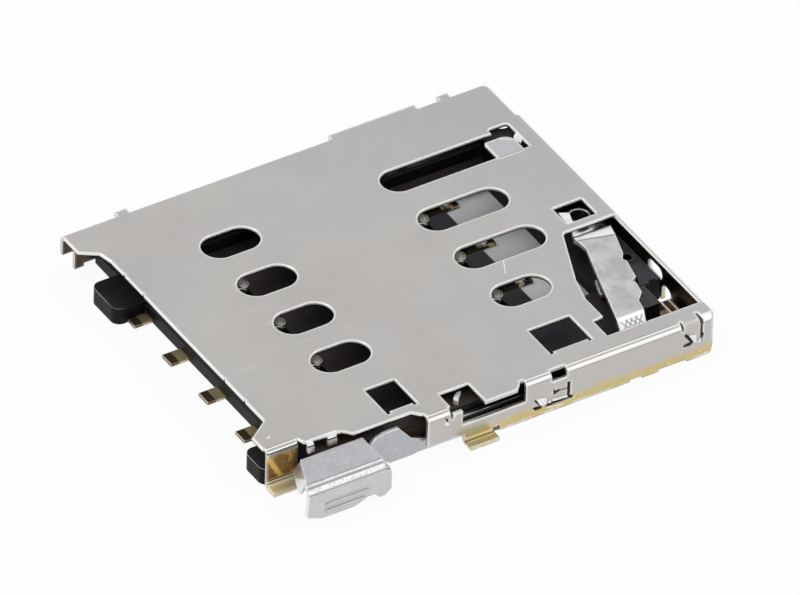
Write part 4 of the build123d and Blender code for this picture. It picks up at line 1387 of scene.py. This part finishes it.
@dataclass
class Cover:
    """Folded cover of the socket, with the bits of its lanced latches laid near-white: a painted
    highlight.
    """

    effects: Effects
    node: str = "cover_shell"
    nickel: Finish = NickelSheet("cover_nickel")
    highlight_metal: Finish = PaleMetal("cover_highlight_metal")
    wall: Pair = (-7.92, -7.80)
    near_latch: tuple[Outline, ...] = (
        ((1.42, 0.83), (1.87, 0.73), (1.87, 0.43), (1.60, 0.48)),
        ((1.93, 0.65), (2.06, 0.45), (1.92, 0.47)),
        ((2.10, 0.575), (2.75, 0.505), (2.75, 0.43), (2.10, 0.49)),
        ((1.86, 0.325), (2.60, 0.215), (2.60, 0.165), (1.86, 0.27)),
    )
    far_latch: tuple[Outline, ...] = (
        ((7.87, 1.19), (8.18, 1.12), (8.20, 0.79), (8.09, 0.80)),
        ((8.24, 0.78), (8.39, 0.92), (8.39, 0.71)),
    )
    sliver: Outline = (
        (-1.05, -6.75), (-1.25, -6.76), (-1.42, -6.87), (-1.53, -6.98), (-1.56, -7.10),
        (-1.46, -7.23), (-1.40, -7.12), (-1.35, -7.03), (-1.21, -6.92),
    )
    sliver_top: Pair = (1.24, 1.45)
    curl: Outline = ((8.40, 4.82), (8.22, 4.66), (8.09, 4.45), (8.26, 4.22), (8.40, 4.36))
    curl_top: Pair = (1.575, 1.655)

    def build(self) -> None:
        """Give the cover its nickel, and add the latch bits, the notch sliver and the window curl
        in near-white, a painted highlight.
        """
        dress_node(self.node, self.nickel.material(self.effects))
        highlight_metal = self.highlight_metal.material(self.effects)
        for name, outlines, heights, thick in (
            ("near_latch_metal", self.near_latch, self.wall, Thickness.ACROSS),
            ("far_latch_metal", self.far_latch, self.wall, Thickness.ACROSS),
            ("notch_sliver", (self.sliver,), self.sliver_top, Thickness.UPWARD),
            ("window_curl", (self.curl,), self.curl_top, Thickness.UPWARD),
        ):
            bits = tuple(Plate(outline, *heights, thick) for outline in outlines)
            settle(join_plates(name, bits), highlight_metal, Body.SOCKET)


@dataclass
class Housing:
    """Moulded housing under the cover."""

    effects: Effects
    node: str = "base_housing"
    black: Finish = BlackMoulding("housing_black")

    def build(self) -> None:
        """Give the housing its black moulding."""
        dress_node(self.node, self.black.material(self.effects))


@dataclass
class ContactRows:
    """Two rows of contacts with their pressed tips, a tail without a beam, and the solder."""

    effects: Effects
    nodes: tuple[str, ...] = (
        *(f"{row}_contact_{i}" for row in ("mouth", "inner") for i in (1, 2, 3)),
        "ground_terminal",
    )
    plated: Finish = PlatedContact("contact_plate")
    wear_and_sheen: Finish = PaleMetal(
        "contact_worn_tip", ground=(0.74, 0.70, 0.66), grey=(0.52, 0.49, 0.46),
        metal=0.2, rough=(0.1, 0.42),
    )
    # Near-white solder: its own bright metal with a painted highlight.
    solder: Finish = PaleMetal("contact_solder", metal=0.1)
    row_x: Pair = (-3.95, 3.67)
    tip_ys: tuple[float, ...] = (2.81, 0.27, -2.27)
    tip_back: float = 0.50
    tip_z: float = 1.09
    ring: float = 0.25
    ring_wire: float = 0.030
    dot_x: float = 4.86
    dot_z: float = 0.16
    dot_ys: tuple[float, ...] = (4.10, 1.50, -1.05)
    dot_steps: Outline = ((0.0, 0.0), (0.13, -0.07), (0.10, 0.08), (0.27, 0.02))
    dot_size: float = 0.10
    dot_wire: float = 0.065
    dot_least: float = 0.6

    def build(self) -> None:
        """Give every contact its plating, and add the tips and the solder."""
        plated, wear_and_sheen, solder = (
            finish.material(self.effects) for finish in (self.plated, self.wear_and_sheen, self.solder)
        )
        for node in self.nodes:
            dress_node(node, plated)
        tips = tuple((x - self.tip_back, y, self.tip_z) for x in self.row_x for y in self.tip_ys)
        rings = TipRing("contact_tips", tips, self.ring, self.ring_wire)
        settle(rings.grow(wear_and_sheen), wear_and_sheen, Body.SOCKET)
        spots = tuple(
            (self.dot_x + dx, y + dy, self.dot_z) for y in self.dot_ys for dx, dy in self.dot_steps
        )
        dots = Bead("solder_dots", spots, self.dot_size, self.dot_wire, self.dot_least)
        settle(dots.grow(solder), solder, Body.SOCKET)


@dataclass
class Ejector:
    """Push rod and lever, with the knurl on the lever's slope, and a near-white tip plate and beads
    on the thumb tab's fold as painted highlights.
    """

    effects: Effects
    rod: str = "push_rod"
    lever: str = "eject_lever"
    rod_steel: Finish = BrightSheet("rod_steel")
    lever_steel: Finish = LeverSheet("lever_steel")
    highlight_metal: Finish = PaleMetal("ejector_highlight_metal")
    pressed: Finish = PaleMetal(
        "lever_knurl", ground=(0.46, 0.46, 0.47), grey=(0.30, 0.30, 0.31),
        metal=0.5, rough=(0.1, 0.35),
    )
    slope_start: Point = (6.16, -6.32, 1.245)
    ridges: int = 4
    ridge_step: float = 0.205
    ridge_length: float = 0.50
    ridge_wire: float = 0.034
    ridge_least: float = 0.9
    ridge_angle: float = 52.0
    slope_angle: float = 45.0
    tip_plate: Outline = ((7.35, 0.20), (7.70, 0.0), (7.50, -0.62), (7.27, -0.56))
    tip_top: Pair = (1.44, 1.515)
    tab: Pair = (-8.72, -5.38)
    fold_centre: Pair = (-8.70, 1.22)
    fold_reach: float = 0.345
    bead_angles: Pair = (68.0, 36.0)
    bead_step: float = 0.085
    bead_size: float = 0.035
    bead_wire: float = 0.014
    bead_least: float = 0.3

    def build(self) -> None:
        """Give the rod and the lever their steel, and add the knurl, and the tip plate and the
        beads in near-white as painted highlights.
        """
        dress_node(self.rod, self.rod_steel.material(self.effects))
        dress_node(self.lever, self.lever_steel.material(self.effects))
        highlight_metal = self.highlight_metal.material(self.effects)
        self._knurl()
        # A near-white plate at the lever's tip: a painted highlight.
        tip = join_plates("lever_tip_plate", (Plate(self.tip_plate, *self.tip_top),))
        settle(tip, highlight_metal, Body.LEVER)
        # Near-white beads on the fold's highlight bands: a painted highlight speckle.
        fold = Bead(
            "tab_fold_beads", self._bead_places(), self.bead_size, self.bead_wire, self.bead_least
        )
        settle(fold.grow(highlight_metal), highlight_metal, Body.ROD)

    def _knurl(self) -> None:
        """Cross two rows of ridges on the lever's slope."""
        pressed = self.pressed.material(self.effects)
        x, y, z = self.slope_start
        row = tuple((x + self.ridge_step * i, y, z) for i in range(self.ridges))
        angle = math.radians(self.ridge_angle)
        fall = -math.sin(angle) * math.cos(math.radians(self.slope_angle))
        for name, side in (("lever_ridges_a", 1.0), ("lever_ridges_b", -1.0)):
            bars = KnurlBar(
                name, row, self.ridge_length, self.ridge_wire, self.ridge_least,
                run=(side * math.cos(angle), fall, fall),
            )
            settle(bars.grow(pressed), pressed, Body.LEVER)

    def _bead_places(self) -> tuple[Point, ...]:
        """Give the places of two lines of beads along the tab's fold."""
        start, end = self.tab
        count = int((end - start) / self.bead_step)
        places = []
        for angle in map(math.radians, self.bead_angles):
            y = self.fold_centre[0] - self.fold_reach * math.cos(angle)
            z = self.fold_centre[1] + self.fold_reach * math.sin(angle)
            places += [(start + self.bead_step * i, y, z) for i in range(count)]
        return tuple(places)


@dataclass
class DetectSwitch:
    """Two blades that feel the tray."""

    effects: Effects
    nodes: tuple[str, ...] = ("detect_spring", "detect_terminal")
    copper: Finish = CopperBlade("blade_copper")

    def build(self) -> None:
        """Give the blades their copper."""
        copper = self.copper.material(self.effects)
        for node in self.nodes:
            dress_node(node, copper)


@dataclass(frozen=True)
class Lamp:
    """A square lamp that faces the object: its place and side, and its power in watts."""

    name: str
    place: Point
    size: float
    power: float

    def hang(self) -> None:
        """Add the lamp to the scene."""
        data = bpy.data.lights.new(self.name, "AREA")
        data.size = self.size * MM
        data.energy = self.power
        lamp = add_object(self.name, data)
        lamp.location = Vector(self.place) * MM
        lamp.rotation_euler = (-lamp.location).to_track_quat("-Z", "Y").to_euler()


@dataclass
class Studio:
    """Floor, lamps, world and camera."""

    white: StudioWhite = StudioWhite("floor_white")
    floor_reach: float = 400.0
    floor_drop: float = 0.01
    fill: float = 0.75
    lamps: tuple[Lamp, ...] = (
        Lamp("key_lamp", (-90.0, 60.0, 120.0), 70.0, 0.035),
        Lamp("side_lamp", (110.0, -60.0, 110.0), 60.0, 0.025),
    )
    focal_pixels: float = 23131.0
    image_width: float = 800.0
    film: float = 36.0
    clip: Pair = (0.01, 4.0)
    eye: Point = (-350.956, -551.122, 517.406)
    azimuth: float = -32.53
    elevation: float = 38.34
    roll: float = 1.606

    def build(self) -> None:
        """Make the floor, the world, the lamps and the camera."""
        self._floor()
        self._world()
        for lamp in self.lamps:
            lamp.hang()
        self._camera()

    def _floor(self) -> None:
        """Lay the floor just under the feet."""
        reach = self.floor_reach * MM
        mesh = bpy.data.meshes.new("studio_floor")
        sides = ((-1, -1), (1, -1), (1, 1), (-1, 1))
        mesh.from_pydata([(reach * i, reach * j, 0.0) for i, j in sides], [], [(0, 1, 2, 3)])
        floor = add_object("studio_floor", mesh)
        floor.location.z = -self.floor_drop * MM
        paint(floor, self.white.material())

    def _world(self) -> None:
        """Surround the object with soft light, white to the camera and to reflections."""
        world = bpy.data.worlds.new("studio")
        world.use_nodes = True
        world.node_tree.nodes.clear()
        graph = Graph(world.node_tree)
        strength = graph.scaled(graph.seen, 1.0 - self.fill, self.fill)
        feeds = {"Color": (1.0, 1.0, 1.0, 1.0), "Strength": strength}
        background = graph.add("ShaderNodeBackground", feeds)
        graph.add("ShaderNodeOutputWorld", {"Surface": background.outputs[0]})
        bpy.context.scene.world = world

    def _camera(self) -> None:
        """Stand the camera at the photograph's angle."""
        data = bpy.data.cameras.new("camera")
        data.sensor_width = self.film
        data.lens = self.focal_pixels * self.film / self.image_width
        data.clip_start, data.clip_end = self.clip
        camera = add_object("camera", data)
        turns = ((self.azimuth, "Z"), (90.0 - self.elevation, "X"), (self.roll, "Z"))
        place = Matrix.Translation(Vector(self.eye) * MM)
        for angle, axis in turns:
            place = place @ Matrix.Rotation(math.radians(angle), 4, axis)
        camera.matrix_world = place
        bpy.context.scene.camera = camera
        bpy.context.scene.view_settings.view_transform = "Standard"


def main() -> None:
    """Build the looks in order."""
    logging.basicConfig(level=logging.INFO)
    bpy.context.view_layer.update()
    effects = Effects()
    for part in (
        Studio(), Cover(effects), Housing(effects), ContactRows(effects), Ejector(effects),
        DetectSwitch(effects),
    ):
        part.build()
        log.info("finished %s", type(part).__name__)


if __name__ == "__main__":
    main()
